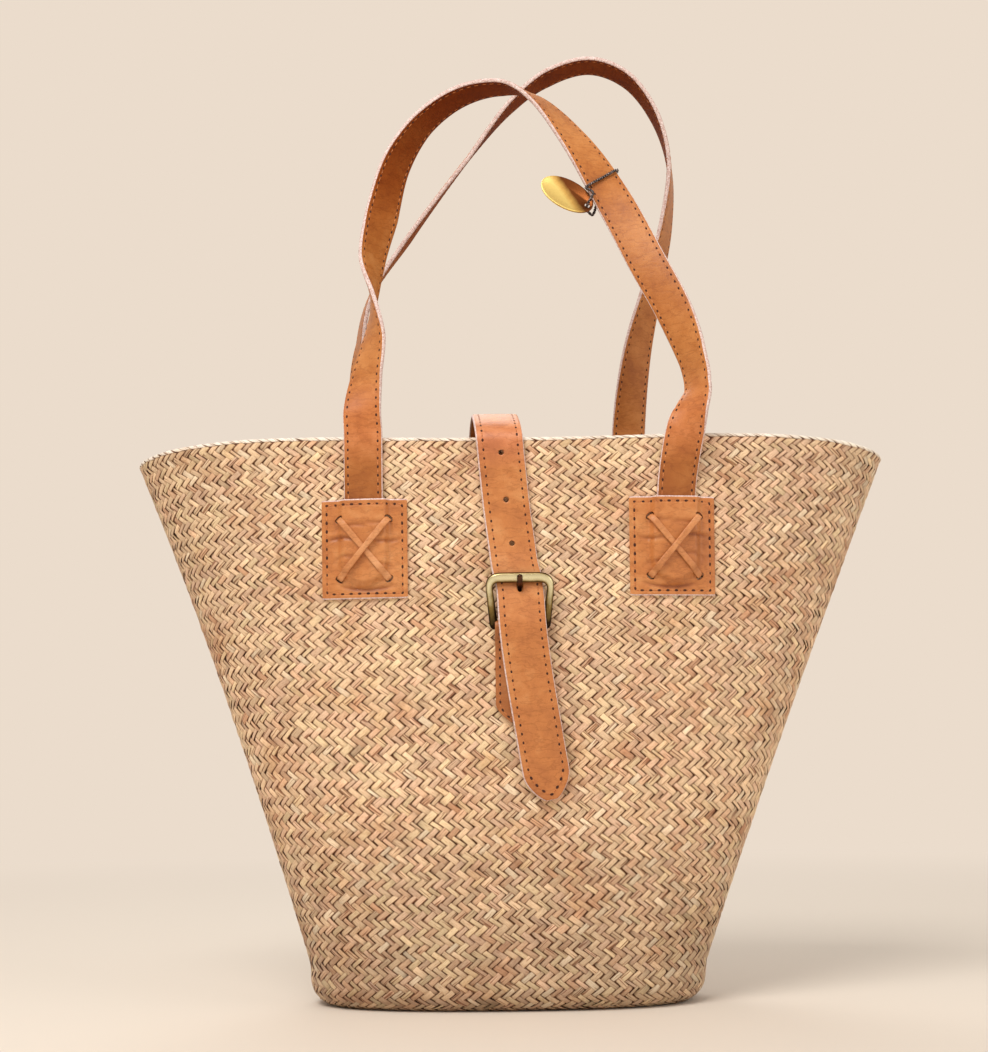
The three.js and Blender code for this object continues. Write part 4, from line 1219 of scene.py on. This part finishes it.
def foot_points(foot, side):
    proud, edge = RIM_BEAD - WALL / 2, STRAP_HALF_WIDTH * abs(math.sin(math.radians(foot[2])))
    found = []
    for z, off, twist in ((FOOT_HEIGHT, 0, 0), (PATCH_MIDDLE + PATCH_HEIGHT / 2 + 3, 0.1, 0),
                          (RIM_HEIGHT - 14, 0.8 * proud + 0.3 * edge, foot[2] / 3),
                          (HINGE_HEIGHT, proud + edge, foot[2])):
        x, row = foot_at(foot, z), min(z, RIM_HEIGHT)
        found.append((x, side * (float(wall_depth(x, row)) + FIT + HALF_STACK + off), z,
                      twist - side * slant(x, row)))
    return found


def strap_route(side, feet, arch):
    stand = [(x, side * (RIM_HALF[1] - inward), RIM_HEIGHT + up, turn)
             for x, inward, up, turn in arch]
    every = foot_points(feet[0], side) + stand + foot_points(feet[1], side)[::-1]
    return Route([p[:3] for p in every], [p[3] for p in every])


# %% Strap plies and their stitches
STRAP_INSET = 2.1


def blend_strap(piece):
    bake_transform(piece)


def strap_half(s, length):
    """Half width at distances along the strap: both hidden ends are half round."""
    near = np.minimum(1, np.minimum(s, length - s) / STRAP_HALF_WIDTH)
    return STRAP_HALF_WIDTH * np.sqrt(np.maximum(0.05, 1 - (1 - near) ** 2))


def sew_edges(name, route, start, end, out_sign):
    """Two rows of stitches between two distances; returns the pieces made."""
    surface = ply_surface(route, STRAP_HALF_WIDTH, STRAP_INSET, out_sign)
    made = []
    for hand, way in (("left", -1), ("right", 1)):
        aside = np.full(300, way * (STRAP_HALF_WIDTH - STRAP_INSET))
        path = np.stack([np.linspace(start, end, 300), aside], 1)
        made += sew_on(f"{name}_{hand}", surface, path, STITCH_PITCH)
    return made


def shoulder_strap(place, side, feet, arch):
    route = strap_route(side, feet, arch)
    patch_top = PATCH_MIDDLE + PATCH_HEIGHT / 2 - 1
    start, end = route.distance_at(patch_top), route.distance_at(patch_top, True)
    for ply, out_sign, leather in (("face", 1, STRAP), ("lining", -1, LINING)):
        node = f"{place}_strap_{ply}"
        piece = strip(f"{node}_leather", route, lambda s: strap_half(s, route.length), out_sign,
                      STRAP_INSET, leather)
        for made in (piece, *sew_edges(f"{node}_stitch", route, start, end, out_sign)):
            blend_strap(made)
        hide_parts(node, f"{node}_foot_left", f"{node}_foot_right")
        print(node, round(route.length), "mm,", triangles(piece), "triangles")
    s = np.linspace(start - 5, end + 5, 420)
    for hand, y in (("left", -STRAP_HALF_WIDTH), ("right", STRAP_HALF_WIDTH)):
        path = np.stack([s, np.full(len(s), y)], 1)
        made = raw_edge(f"{place}_strap_edge_{hand}", route, path, 0.5)
        blend_strap(made)
    return route


ROUTES = {place: shoulder_strap(place, *strap) for place, strap in STRAPS.items()}

# %% [markdown]
# ## Patches
# Four square patches hold the feet. Each lies on the wall at its border and domes over the foot. It
# is cut by four slits, sewn round its border, and its leather sinks a little at the seam.

# %% Patch surface
LACE_SPREAD = (14.4, 17.2)
DOME_FROM, DOME_TO = 0.8, 5


def patch_lift(x, z, foot):
    """How far the patch's underside stands off the wall: it domes over the foot of the strap."""
    below = np.maximum(0, FOOT_HEIGHT + STRAP_HALF_WIDTH - 1.5 - z)
    aside = np.abs(x - foot_at(foot, z))
    outside = np.where(below > 0, np.hypot(aside, below), aside) - STRAP_HALF_WIDTH
    rise = np.clip((outside - DOME_FROM) / (DOME_TO - DOME_FROM), 0, 1)
    return FIT + (1 - rise * rise * (3 - 2 * rise)) * (2 * HALF_STACK + 2 * FIT)


def patch_surface(side, foot):
    """A function from x and z to points of the patch's face and its outward normals."""
    def depth(x, z):
        return wall_depth(x, z) + patch_lift(x, z, foot) + PATCH_THICKNESS

    def surface(x, z, sink=0.0):
        point = np.stack([x, side * depth(x, z), z], -1)
        slope_x = (depth(x + 0.3, z) - depth(x - 0.3, z)) / 0.6
        slope_z = (depth(x, z + 0.3) - depth(x, z - 0.3)) / 0.6
        out = unit(np.stack([-slope_x, np.full_like(x, side), -slope_z], -1))
        return point - out * np.asarray(sink)[..., None], out

    return surface


# %% Cutting helper
def cut(piece, cutters):
    """Take closed cutters out of a piece and remove them."""
    for cutter in cutters:
        hole = piece.modifiers.new("hole", "BOOLEAN")
        hole.object = cutter
        hole.solver = "EXACT"
    apply_all(piece)
    for cutter in cutters:
        bpy.data.objects.remove(cutter)
    return piece


def slot_cutter(centre, half, turn=0.0, oval=False):
    """A box or an oval rod along Y in millimetres, turned about Y; its mesh holds its place."""
    if oval:
        tool = primitive(bpy.ops.mesh.primitive_cylinder_add, "cutter",
                         vertices=24, radius=1, depth=2)
    else:
        tool = primitive(bpy.ops.mesh.primitive_cube_add, "cutter", size=2)
    place = Matrix.Translation(Vector(centre) * MM) @ Matrix.Rotation(turn, 4, "Y")
    size = Matrix.Diagonal((*(h * MM for h in half), 1))
    tool.data.transform(place @ size @ Matrix.Rotation(math.pi / 2, 4, "X"))
    return tool


# %% Folds of a patch
# Each fold: where it starts and ends aside, its height, how much it bows up, and its depth.
FOLDS = [(-0.9, -0.15, 0.17, 0.06, 0.42), (0.1, 0.84, 0.2, -0.05, 0.36),
         (-0.62, 0.74, -0.72, -0.1, 0.5), (-0.5, 0.1, 0.44, 0.05, 0.22),
         (-0.2, 0.7, 0.56, -0.04, 0.2), (-0.8, 0.0, -0.3, 0.16, 0.2), (0.05, 0.75, -0.42, 0.1, 0.18)]


def folds(aside, up):
    """Depth of the folds at shares of the half width and the half height of a patch."""
    depth = np.zeros_like(aside)
    for first, last, height, bow, deepest in FOLDS:
        t = np.clip((aside - first) / (last - first), 0, 1)
        above = up - height - bow * 4 * t * (1 - t)
        fade = 2.3 * np.sin(math.pi * t) ** 0.7 * deepest
        # A fold is a furrow with a lower and wider swelling above it.
        furrow, swelling = np.exp(-(above / 0.04) ** 2), np.exp(-((above - 0.08) / 0.055) ** 2)
        depth += fade * (furrow - 0.5 * swelling)
    return depth


# %% Patches
PATCH_HALF = np.array([PATCH_WIDTH / 2, PATCH_HEIGHT / 2])
PATCH_INSET, SLIT_HALF = 3, (2.5, 15, 1.55)


def slit_cutters(side, foot):
    """Four oval rods, one for each place where a lace goes through."""
    depth, turn = side * float(wall_depth(foot[0], PATCH_MIDDLE)), math.atan2(*LACE_SPREAD)
    aside, up = LACE_SPREAD[0] + 0.3, LACE_SPREAD[1] + 0.35
    return [slot_cutter((foot[0] - lean * end * aside, depth, PATCH_MIDDLE + end * up),
                        SLIT_HALF, -lean * turn, True)
            for lean in (1, -1) for end in (1, -1)]


def patch(name, side, foot, hand):
    surface = patch_surface(side, foot)
    piece, flat = grid(name, 72, 84)
    # The corners are drawn in a little, which rounds them.
    across, up = (flat[:, k] * (1 - 0.008 * np.abs(flat[:, 1 - k]) ** 30) for k in (0, 1))
    x, z = foot[3] + across * PATCH_HALF[0], PATCH_MIDDLE + up * PATCH_HALF[1]
    edge = (PATCH_HALF * (1 - np.abs(flat[:, :2]))).min(1)
    creases = folds(flat[:, 0] * hand, -side * flat[:, 1])
    sink = 0.28 * np.exp(-((edge - PATCH_INSET) / 0.8) ** 2) + 0.4 * np.exp(-edge / 0.5) + creases
    sink += 0.12 * np.sin(x / 6.1 + z / 9.7) * np.cos(z / 5.3)
    place_points(piece, surface(x, z, sink)[0])
    # The depth of the furrows is also painted on, as shade in them.
    paint(piece, "crease", np.clip(creases / 0.9, 0, 1))
    if piece.data.polygons[0].normal.y * side < 0:
        piece.data.flip_normals()
    for made in (LEATHER, EDGE):
        piece.data.materials.append(made)
    # The rows of faces at the top and at the bottom show the raw edge.
    outermost = np.abs(flat[:, 1]) > 0.999
    for polygon in piece.data.polygons:
        polygon.material_index = int(outermost[list(polygon.vertices)].any())
    thicken(piece, PATCH_THICKNESS - 0.1, ease=0.4, pale_rim=True)
    return cut(piece, slit_cutters(side, foot))


def patch_seam(name, side, foot):
    """Stitches all round the patch's border, returned as a list of pieces."""
    surface, (wide, high) = patch_surface(side, foot), PATCH_HALF - PATCH_INSET
    border = [(foot[3] + x * wide, PATCH_MIDDLE + z * high)
              for x, z in ((-1, 1), (1, 1), (1, -1), (-1, -1))]
    sunk = lambda x, z: surface(x, z, np.full_like(x, 0.25))
    return sew_on(name, sunk, border, STITCH_PITCH, True)


for place, side, hand, foot in FEET:
    node = f"{place}_patch_{hand}"
    made = patch(f"{node}_leather", side, foot, 1 if hand == "left" else -1)
    for piece in (made, *patch_seam(f"{node}_leather_stitch", side, foot)):
        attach(piece, "basket")
    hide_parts(node)
    print(node, triangles(made), "triangles")

# %% [markdown]
# ## Laces
# A lace is a soft thong with round edges. It comes through one slit, crosses the patch and goes
# back in through the opposite slit. Two of them cross, the second lying on the first.

# %% Laces
LACE_HALF, LACE_THICKNESS, LACE_STAND, LACE_BEND, LACE_TAIL = 1.9, 1.2, 1.0, 1.6, 7


def lace_route(side, foot, lean, lift):
    half = LACE_THICKNESS / 2
    start = np.array([foot[0] - lean * LACE_SPREAD[0], PATCH_MIDDLE + LACE_SPREAD[1]])
    finish = np.array([foot[0] + lean * LACE_SPREAD[0], PATCH_MIDDLE - LACE_SPREAD[1]])
    along = unit(finish - start)

    def inside(p, more=0.0):
        return p[0], side * (float(wall_depth(*p)) - WALL - LACE_STAND - half + more), p[1]

    def outside(p, more=0.0):
        rise = float(patch_lift(p[0], p[1], foot)) + PATCH_THICKNESS + LACE_STAND + half
        return p[0], side * (float(wall_depth(*p)) + rise + more), p[1]

    front = [outside(start + (finish - start) * s, lift * math.sin(math.pi * s) - 0.55)
             for s in (0.07, 0.16, 0.3, 0.5, 0.7, 0.84, 0.93)]
    points = [inside(start + along * LACE_TAIL), inside(start + along * LACE_BEND * 1.4),
              inside(start, LACE_BEND), (start[0], side * float(wall_depth(*start)), start[1]),
              outside(start, -LACE_BEND / 5 - 0.4), *front, outside(finish, -LACE_BEND / 5 - 0.4),
              (finish[0], side * float(wall_depth(*finish)), finish[1]), inside(finish, LACE_BEND),
              inside(finish - along * LACE_BEND * 1.4), inside(finish - along * LACE_TAIL)]
    slope = math.tan(math.radians(slant(foot[0], PATCH_MIDDLE))) * math.copysign(1, foot[0])
    return Route(points, width=(-along[1], side * slope * along[1], along[0]))


for place, side, hand, foot in FEET:
    for lean, order in ((1, "under"), (-1, "over")):
        node = f"{place}_lace_{hand}_{order}"
        route = lace_route(side, foot, lean, 0 if lean > 0 else LACE_THICKNESS + FIT)
        s = np.linspace(0, route.length, 72)
        # Both laces are drawn in a little where they cross.
        half = LACE_HALF * (1 - 0.12 * np.exp(-((s / route.length - 0.5) / 0.1) ** 2))
        lace = tube(f"{node}_thong", route.frame(s), half, LACE_THICKNESS / 2, 14, 0.6, LACE)
        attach(lace, "basket")
        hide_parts(node)
print("laces laid:", 2 * len(FEET))

# %% [markdown]
# ## Closing strap
# One long strap comes up the back wall, bridges the mouth and hangs down the front through the
# buckle. Its holes are punched through both plies, and its seam runs round its blunt point.

# %% Closing strap route
HEEL_HEIGHT, BUCKLE_X, BUCKLE_LENGTH, BUCKLE_BAR, TOP_BAR = 221.5, 3.9, 29.0, 3.8, 5.2
TILT = math.atan((RIM_HALF[1] - BASE_HALF[1]) / (RIM_HEIGHT - KICK_HEIGHT)) + math.radians(10.1)
HEEL = np.array([BUCKLE_X, -(float(wall_depth(BUCKLE_X, HEEL_HEIGHT)) + 5.07), HEEL_HEIGHT])
CLOSURE_HALF, TIP_LENGTH, TIP_HALF = 13.1, 17.0, 3.2


def along_wall(x, z, side, off):
    return x, side * (float(wall_depth(x, z)) + FIT + HALF_STACK + off), z


def closure_route():
    rim = RIM_HALF[1]
    back = [along_wall(x, RIM_HEIGHT - below, 1, off)
            for x, below, off in ((-17, 100, 0), (-16.2, 57, 0.1),
                                  (-15.6, 20, 0.3), (-15.3, 5, 1.2))]
    over = [(x, y, RIM_HEIGHT + up) for x, y, up in (
        (-15, rim + 1.8, 2.5), (-14.6, rim - 3.5, 8), (-13.8, rim - 20, 14.5),
        (-12.4, 0.364 * rim, 21.5), (-11, -0.09 * rim, 23.5), (-9.6, 40 - rim, 20),
        (-8.4, 12 - rim, 11.5), (-7.4, -rim, 4.6))]
    front = [along_wall(x, RIM_HEIGHT - below, -1, off)
             for x, below, off in ((-6.7, 1.5, 2.1), (-5.6, 14, 1), (-2.9, 42, 0.2))]
    past = [along_wall(x, HEEL_HEIGHT + up, -1, off) for x, up, off in (
        (-0.2, 47.5, 0.5), (1.4, 35, 2.6), (3.6, 25.5, 4.6), (4.5, 17, 6.5), (5, 7.5, 8.5),
        (5.5, 0, 9.8), (6.8, -12.5, 9.2), (9.3, -30.5, 7), (13.7, -57.5, 4.4), (17.6, -81, 2.1),
        (21.1, -99.3, 1))]
    return Route(back + over + front + past, width=(-1, 0, 0))


def prong_points():
    loop = BUCKLE_BAR / 2 + 0.5 + 1.15
    turns = np.radians(np.arange(35, -181, -26.875))
    points = [(0, -loop * math.cos(a), loop * math.sin(a)) for a in turns]
    y, z = -BUCKLE_LENGTH * math.sin(TILT), BUCKLE_LENGTH * math.cos(TILT)
    points += [(0, 1.9, 7.5), (0, -0.3, 18), (0, y + 3.4, z - 6), (0, y - loop + 0.3, z - 3),
               (0, y - loop - 0.4, z + 1.2)]
    return np.array(points)


CLOSURE = closure_route()
PRONG = Route(prong_points() + HEEL)


def closure_half(s):
    near = np.minimum(1, np.minimum(s, CLOSURE.length - s) / TIP_LENGTH)
    return TIP_HALF + (CLOSURE_HALF - TIP_HALF) * np.sin(near * math.pi / 2) ** 0.8


# %% Closing strap plies
CLOSURE_INSET, CLOSURE_PITCH = 3.0, 5.2
PUNCHED, PUNCH_RADIUS, PRONG_SLOT = (101, 73.5, 48), 1.6, (1.75, 3.4)


def closure_cutters():
    """Punches at heights above the buckle's heel bar, and a slot that follows the prong."""
    cutters = []
    for above in PUNCHED:
        s = CLOSURE.distance_at(HEEL_HEIGHT + above, True)
        point, _, _, out = (v[0] for v in CLOSURE.frame(np.array([s])))
        punch = primitive(bpy.ops.mesh.primitive_cylinder_add, "punch",
                          vertices=24, radius=PUNCH_RADIUS * MM, depth=12 * MM)
        turn = Vector(out).to_track_quat("Z", "Y").to_matrix().to_4x4()
        punch.data.transform(Matrix.Translation(Vector(point) * MM) @ turn)
        cutters.append(punch)
    frames = PRONG.frame(np.linspace(PRONG.length * 0.5, PRONG.length, 40))
    cutters.append(tube("prong_slot", frames, *PRONG_SLOT, 16, 1.0))
    return cutters


def seam_loop(inset):
    """A line inside the closing strap's outline, all the way round both points."""
    reach, blunt = CLOSURE.length, TIP_HALF * max(0.16, 1 - inset / TIP_HALF)
    s = np.concatenate([np.linspace(inset, 22, 40), np.linspace(24, reach - 24, 260),
                        np.linspace(reach - 22, reach - inset, 40)])
    near = np.minimum(1, (np.minimum(s, reach - s) - inset) / (TIP_LENGTH - inset / 6))
    half = blunt + (CLOSURE_HALF - inset - blunt) * np.sin(near * math.pi / 2) ** 0.8
    return np.vstack([np.stack([s, half], 1), np.stack([s, -half], 1)[::-1]])


def blend_closure(piece):
    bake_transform(piece)


def closing_strap():
    for ply, out_sign, leather in (("face", 1, LEATHER), ("lining", -1, LINING)):
        piece = strip(f"closure_{ply}_leather", CLOSURE, closure_half, out_sign, CLOSURE_INSET,
                      leather, across=18)
        cut(piece, closure_cutters())
        surface = ply_surface(CLOSURE, closure_half, CLOSURE_INSET, out_sign)
        seam = seam_loop(CLOSURE_INSET)
        stitches = sew_on(f"closure_{ply}_stitch", surface, seam, CLOSURE_PITCH, True)
        for made in (piece, *stitches):
            blend_closure(made)
        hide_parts(f"closure_strap_{ply}", f"closure_tail_{ply}")
        print(piece.name, round(CLOSURE.length), "mm,", triangles(piece), "triangles")
    outline = seam_loop(0.1)
    outline = np.vstack([outline, outline[:1]])
    # The cut side on the left swells more than the one on the right.
    swell = 0.5 + 0.45 * np.clip(outline[:, 1] / 6, 0, 1)
    blend_closure(raw_edge("closure_edge", CLOSURE, outline, swell))


closing_strap()

# %% [markdown]
# ## Buckle
# A cast frame with a heavier top bar, a prong looped round the heel bar, and the tab that holds
# both: a strip folded round the heel bar, with a slot for the prong, its ends sewn to the wall.

# %% Buckle frame
def rounded(corners, along=12):
    """Points round an outline whose corners are (x, y, radius)."""
    found = []
    corners = np.asarray(corners, float)
    for k, (x, y, radius) in enumerate(corners):
        corner = np.array([x, y])
        before = corner + unit(corners[k - 1, :2] - corner) * radius
        after = corner + unit(corners[(k + 1) % len(corners), :2] - corner) * radius
        t = np.linspace(0, 1, 9)[:, None]
        found.append((1 - t) ** 2 * before + 2 * t * (1 - t) * corner + t ** 2 * after)
    joined = []
    for k, bend in enumerate(found):
        start = found[(k + 1) % len(found)][0]
        t = np.linspace(0, 1, along + 1)[1:-1, None]
        joined += [bend, bend[-1] + (start - bend[-1]) * t]
    return np.vstack(joined)


FRAME_HEEL_HALF, FRAME_TOP_HALF, FRAME_SIDE, FRAME_TOP_BAR = 17.5, 20.6, 4.5, TOP_BAR + 0.7


def frame_outline(inset, low, high, heel_radius, top_radius):
    """The buckle's outline in its own plane, drawn in aside, between two heights."""
    heel, top = FRAME_HEEL_HALF - inset, FRAME_TOP_HALF - inset
    return rounded([(-heel, low, heel_radius), (heel, low, heel_radius),
                    (top, high, top_radius), (-top, high, top_radius)])


def buckle_frame():
    high = BUCKLE_LENGTH + TOP_BAR / 2
    outer = frame_outline(0, -BUCKLE_BAR / 2, high, 3.5, 10)
    inner = frame_outline(FRAME_SIDE, BUCKLE_BAR / 2, high - FRAME_TOP_BAR, 1.2, 4.5)
    piece = primitive(bpy.ops.mesh.primitive_torus_add, "buckle_frame_cast",
                      major_segments=len(outer), minor_segments=14,
                      major_radius=1, minor_radius=0.25)
    ring = np.array([v.co[:] for v in piece.data.vertices])
    share = np.arctan2(ring[:, 1], ring[:, 0]) / (2 * math.pi) % 1
    station = np.round(share * len(outer)).astype(int) % len(outer)
    # The round section of the torus is brought to a size of 1 and made a little squarer.
    section = (np.hypot(ring[:, 0], ring[:, 1]) - 1) * 4, ring[:, 2] * 4
    aside, deep = (np.sign(v) * np.abs(v) ** 0.72 for v in section)
    middle, half = (outer + inner) / 2, (outer - inner) / 2
    flat = middle[station] + half[station] * aside[:, None]
    up = np.array([0, -math.sin(TILT), math.cos(TILT)])
    normal = np.array([0, -math.cos(TILT), -math.sin(TILT)])
    place_points(piece, HEEL + flat[:, :1] * (1, 0, 0) + flat[:, 1:] * up
                 + (deep * BUCKLE_BAR / 2)[:, None] * normal)
    # Wear polishes the crest of the bar, most of all towards the outside. The same colour also holds
    # painted light: a painted highlight that grows towards the top bar, and painted shade towards
    # the heel.
    polish_and_light = np.clip(1.25 * np.clip(deep, 0, 1) ** 2 - 0.1, 0, 1) * (1 - 0.4 * aside ** 4)
    climb = flat[:, 1] / (0.95 * BUCKLE_LENGTH)
    polish_and_light *= (1 - 0.55 * np.clip(-aside, 0, 1)) * np.clip(0.1 + climb, 0, 1)
    paint(piece, "polish_and_light", polish_and_light)
    face_outwards(piece)
    piece.data.materials.append(BRASS)
    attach(piece, "buckle")
    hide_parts("buckle_frame")
    print(piece.name, triangles(piece), "triangles")


buckle_frame()


# %% Prong
PRONG_HALF_WIDTH, PRONG_HALF_THICKNESS, PRONG_FLARE = 1.2, 1.1, 0.4


def prong():
    """A round bar that widens a little towards its rounded tip."""
    s = np.linspace(0, PRONG.length, 90)
    left = PRONG.length - s
    full = 0.2 + 0.8 * np.sqrt(1 - (1 - np.clip(left / 1.3, 0, 1)) ** 2)
    wide = PRONG_HALF_WIDTH + PRONG_FLARE * np.clip((9 - left) / 4, 0, 1)
    piece = tube("buckle_prong_bar", PRONG.frame(s), wide * full, PRONG_HALF_THICKNESS * full,
                 14, 1.0, BRONZE)
    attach(piece, "prong")
    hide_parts("buckle_prong")


prong()


# %% Buckle tab
TAB_LENGTH, TAB_INSET, TAB_SLOT_HALF = 55, 2.6, (1.65, 8, 5.5)
TAB_END_HALF, TAB_WIDENS, TAB_TAPER = 6, 8.6, 11


def tab_route():
    """Up the wall, round the heel bar and down again over itself."""
    def down_wall(heights, off):
        return [(BUCKLE_X, -(float(wall_depth(BUCKLE_X, z)) + off), z) for z in heights]

    fold = BUCKLE_BAR / 2 + 1.4 * FIT + PLY / 2
    neck, end = HEEL_HEIGHT - 3.6 * fold, HEEL_HEIGHT - TAB_LENGTH
    rows = (end, end + (neck - end) * 0.55, neck)
    around = [(BUCKLE_X, HEEL[1] + fold * math.cos(a), HEEL[2] + fold * math.sin(a))
              for a in np.radians((0, 45, 90, 135, 180, 210))]
    back, front = down_wall(rows, FIT + PLY / 2), down_wall(rows[::-1], 2 * FIT + 1.5 * PLY)
    return Route(back + around + front)


def tab():
    route = tab_route()

    def half(s):
        near = np.minimum(1, np.minimum(s, route.length - s) / TAB_TAPER)
        return TAB_END_HALF + TAB_WIDENS * np.sin(near * math.pi / 2)

    piece = strip("buckle_tab_leather", route, half, -1, TAB_INSET, SHADED_TAB, across=16, step=0.9,
                  level=PLY / 2, thickness=PLY)
    cut(piece, [slot_cutter(HEEL, TAB_SLOT_HALF)])
    s = np.linspace(route.length / 2 + 9, route.length - TAB_INSET, 30)
    edge = half(s) - TAB_INSET
    path = np.vstack([np.stack([s, edge], 1), np.stack([s, -edge], 1)[::-1]])
    surface = ply_surface(route, half, TAB_INSET, -1, PLY / 2)
    stitches = sew_on("buckle_tab_stitch", surface, path, STITCH_PITCH)
    for made in (piece, *stitches):
        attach(made, "basket")
    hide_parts("buckle_tab")
    print(piece.name, triangles(piece), "triangles")


tab()

# %% [markdown]
# ## Tag and thread
# The tag is a stamped oval: a bare face inside a raised border, with a hole for the thread. The
# thread is two yarns twisted together that go round the strap and through the hole.

# %% Tag
TAG_LENGTH, TAG_WIDTH, TAG_THICKNESS = 35.0, 21.0, 1.3
TAG_BORDER, TAG_SLOPE, TAG_SUNK, TAG_HOLE_RADIUS = 0.9, 0.35, 0.28, 1.6
TAG_HOLE = TAG_LENGTH / 2 - 3.4
TAG_DROOP, TAG_TURN = math.radians(31), math.radians(-20)
TAG_LONG = np.array([math.cos(TAG_DROOP), 0, -math.sin(TAG_DROOP)])
TAG_FACE = np.array(Matrix.Rotation(TAG_TURN, 3, Vector(TAG_LONG)) @ Vector((0, -1, 0)))
TAG_SHORT = np.cross(TAG_FACE, TAG_LONG)
TIED = ROUTES["front"].distance_at(RIM_HEIGHT + 164, True)
THREADED = [v[0] for v in ROUTES["front"].frame(np.array([TIED]))]
TAG_MIDDLE = THREADED[0] + (-21.3, -4.2, -10.1)


def tag_material():
    """Brass with a painted reflection: a bright painted highlight at its lower left that goes darker
    towards the hole and the upper edge, as a painted reflection of the leather strap, over a little
    patina.
    """
    made, tree, shader = material("polished_brass", Metallic=1.0)
    wear = shared(tree, METAL_WEAR)
    offset = add_node(tree, "VectorMath", {0: object_place(tree), 1: tuple(TAG_MIDDLE * MM)},
                      operation="SUBTRACT").outputs[0]
    # Painted reflection: a gradient across the tag from its lower left to its upper edge.
    way = (TAG_LONG * 0.47 + TAG_SHORT * 0.88) / 16
    towards = add_node(tree, "VectorMath", {0: offset, 1: tuple(way / MM)},
                       operation="DOT_PRODUCT").outputs["Value"]
    uneven = math_node(tree, "MULTIPLY", wear["Patina"], 0.16)
    reflection_and_patina = math_node(tree, "ADD", math_node(tree, "ADD", towards, uneven), 0.42)
    tone = ramp(tree, reflection_and_patina, [(0.3, linear(252, 226, 140)), (0.46, linear(226, 184, 104)),
                              (0.7, linear(116, 66, 34))])
    scratched(tree, shader, wear, tone, 0.3, 0.08)
    return made


def tag():
    piece = primitive(bpy.ops.mesh.primitive_cylinder_add, "hang_tag_plate",
                      vertices=72, radius=1, depth=TAG_THICKNESS * MM, end_fill_type="NGON")
    piece.data.transform(Matrix.Diagonal((TAG_LENGTH / 2 * MM, TAG_WIDTH / 2 * MM, 1, 1)))
    bpy.ops.object.mode_set(mode="EDIT")
    bpy.context.tool_settings.mesh_select_mode = (False, False, True)
    bpy.ops.mesh.select_all(action="DESELECT")
    bpy.ops.object.mode_set(mode="OBJECT")
    for polygon in piece.data.polygons:
        polygon.select = len(polygon.vertices) > 4
    bpy.ops.object.mode_set(mode="EDIT")
    bpy.ops.mesh.inset(thickness=TAG_BORDER * MM, use_individual=True)
    bpy.ops.mesh.inset(thickness=TAG_SLOPE * MM, depth=-TAG_SUNK * MM, use_individual=True)
    bpy.ops.object.mode_set(mode="OBJECT")
    drill = primitive(bpy.ops.mesh.primitive_cylinder_add, "drill",
                      vertices=24, radius=TAG_HOLE_RADIUS * MM, depth=8 * MM)
    drill.data.transform(Matrix.Translation((TAG_HOLE * MM, 0, 0)))
    cut(piece, [drill])
    soft = piece.modifiers.new("worn_edges", "BEVEL")
    soft.width = 0.16 * MM
    soft.segments = 2
    soft.angle_limit = math.radians(40)
    apply_all(piece)
    turn = Matrix((TAG_LONG, TAG_SHORT, TAG_FACE)).transposed().to_4x4()
    piece.data.transform(Matrix.Translation(Vector(TAG_MIDDLE) * MM) @ turn)
    piece.data.shade_smooth()
    piece.data.materials.append(tag_material())
    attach(piece, "tag")
    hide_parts("hang_tag")
    print(piece.name, triangles(piece), "triangles")


tag()


# %% Thread
THREAD_RADIUS, TWIST, YARN_ASIDE, YARN_RADIUS = 0.65, 3.4, 0.44, 0.52


def thread_points():
    """Round the strap, down through the tag's hole and back up behind the strap."""
    point, along, across, out = THREADED
    side, off = STRAP_HALF_WIDTH + FIT + THREAD_RADIUS, HALF_STACK + 1.4 * FIT + THREAD_RADIUS
    around = lambda a, b: point + (across + along * 0.15) * a + out * b
    through = lambda d: TAG_MIDDLE + TAG_LONG * TAG_HOLE + TAG_FACE * d
    return [around(-5, -off), around(1.5 - side, -off), around(-side - 0.2, -0.6 * off),
            around(-side - 0.2, 0.6 * off), around(1.5 - side, off), around(0, off),
            around(side - 1.5, off), around(side + 0.4, 0.5 * off), through(5) + (2.5, 0, 5),
            through(3), through(0.8), through(-0.8), through(-3), through(-4) + (4, 1.5, -3),
            around(side - 4, -off - 1) + (4, 0, -8), around(2, -off - 0.4), around(-3.6, -off)]


def transported(points):
    """Frames along a line of points that never twist about it."""
    along = unit(np.gradient(points, axis=0))
    across = np.zeros_like(along)
    across[0] = unit(np.cross(along[0], (0.3, 0.2, 1)))
    for k in range(1, len(points)):
        across[k] = unit(across[k - 1] - along[k] * (across[k - 1] @ along[k]))
    return along, across, np.cross(across, along)


def thread():
    route = Route(thread_points())
    s = np.linspace(0, route.length, 420)
    line = curve_points(route.points, np.interp(s, route.run, route.table))
    _, across, out = transported(line)
    turn = 2 * math.pi * s / TWIST
    yarns = []
    for k, phase in enumerate((0, math.pi)):
        wave = across * np.cos(turn + phase)[:, None] + out * np.sin(turn + phase)[:, None]
        path = line + wave * YARN_ASIDE
        frames = path, *transported(path)
        yarns.append(tube(f"yarn_{k}", frames, YARN_RADIUS, YARN_RADIUS, 8, 1.0))
    for yarn in yarns:
        yarn.select_set(True)
    bpy.context.view_layer.objects.active = yarns[0]
    bpy.ops.object.join()
    piece = yarns[0]
    piece.name = "tag_thread_twist"
    piece.data.materials.append(WAXED_WITH_GLINTS)
    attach(piece, "front_handle")
    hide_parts("tag_thread")
    print(piece.name, triangles(piece), "triangles")


thread()
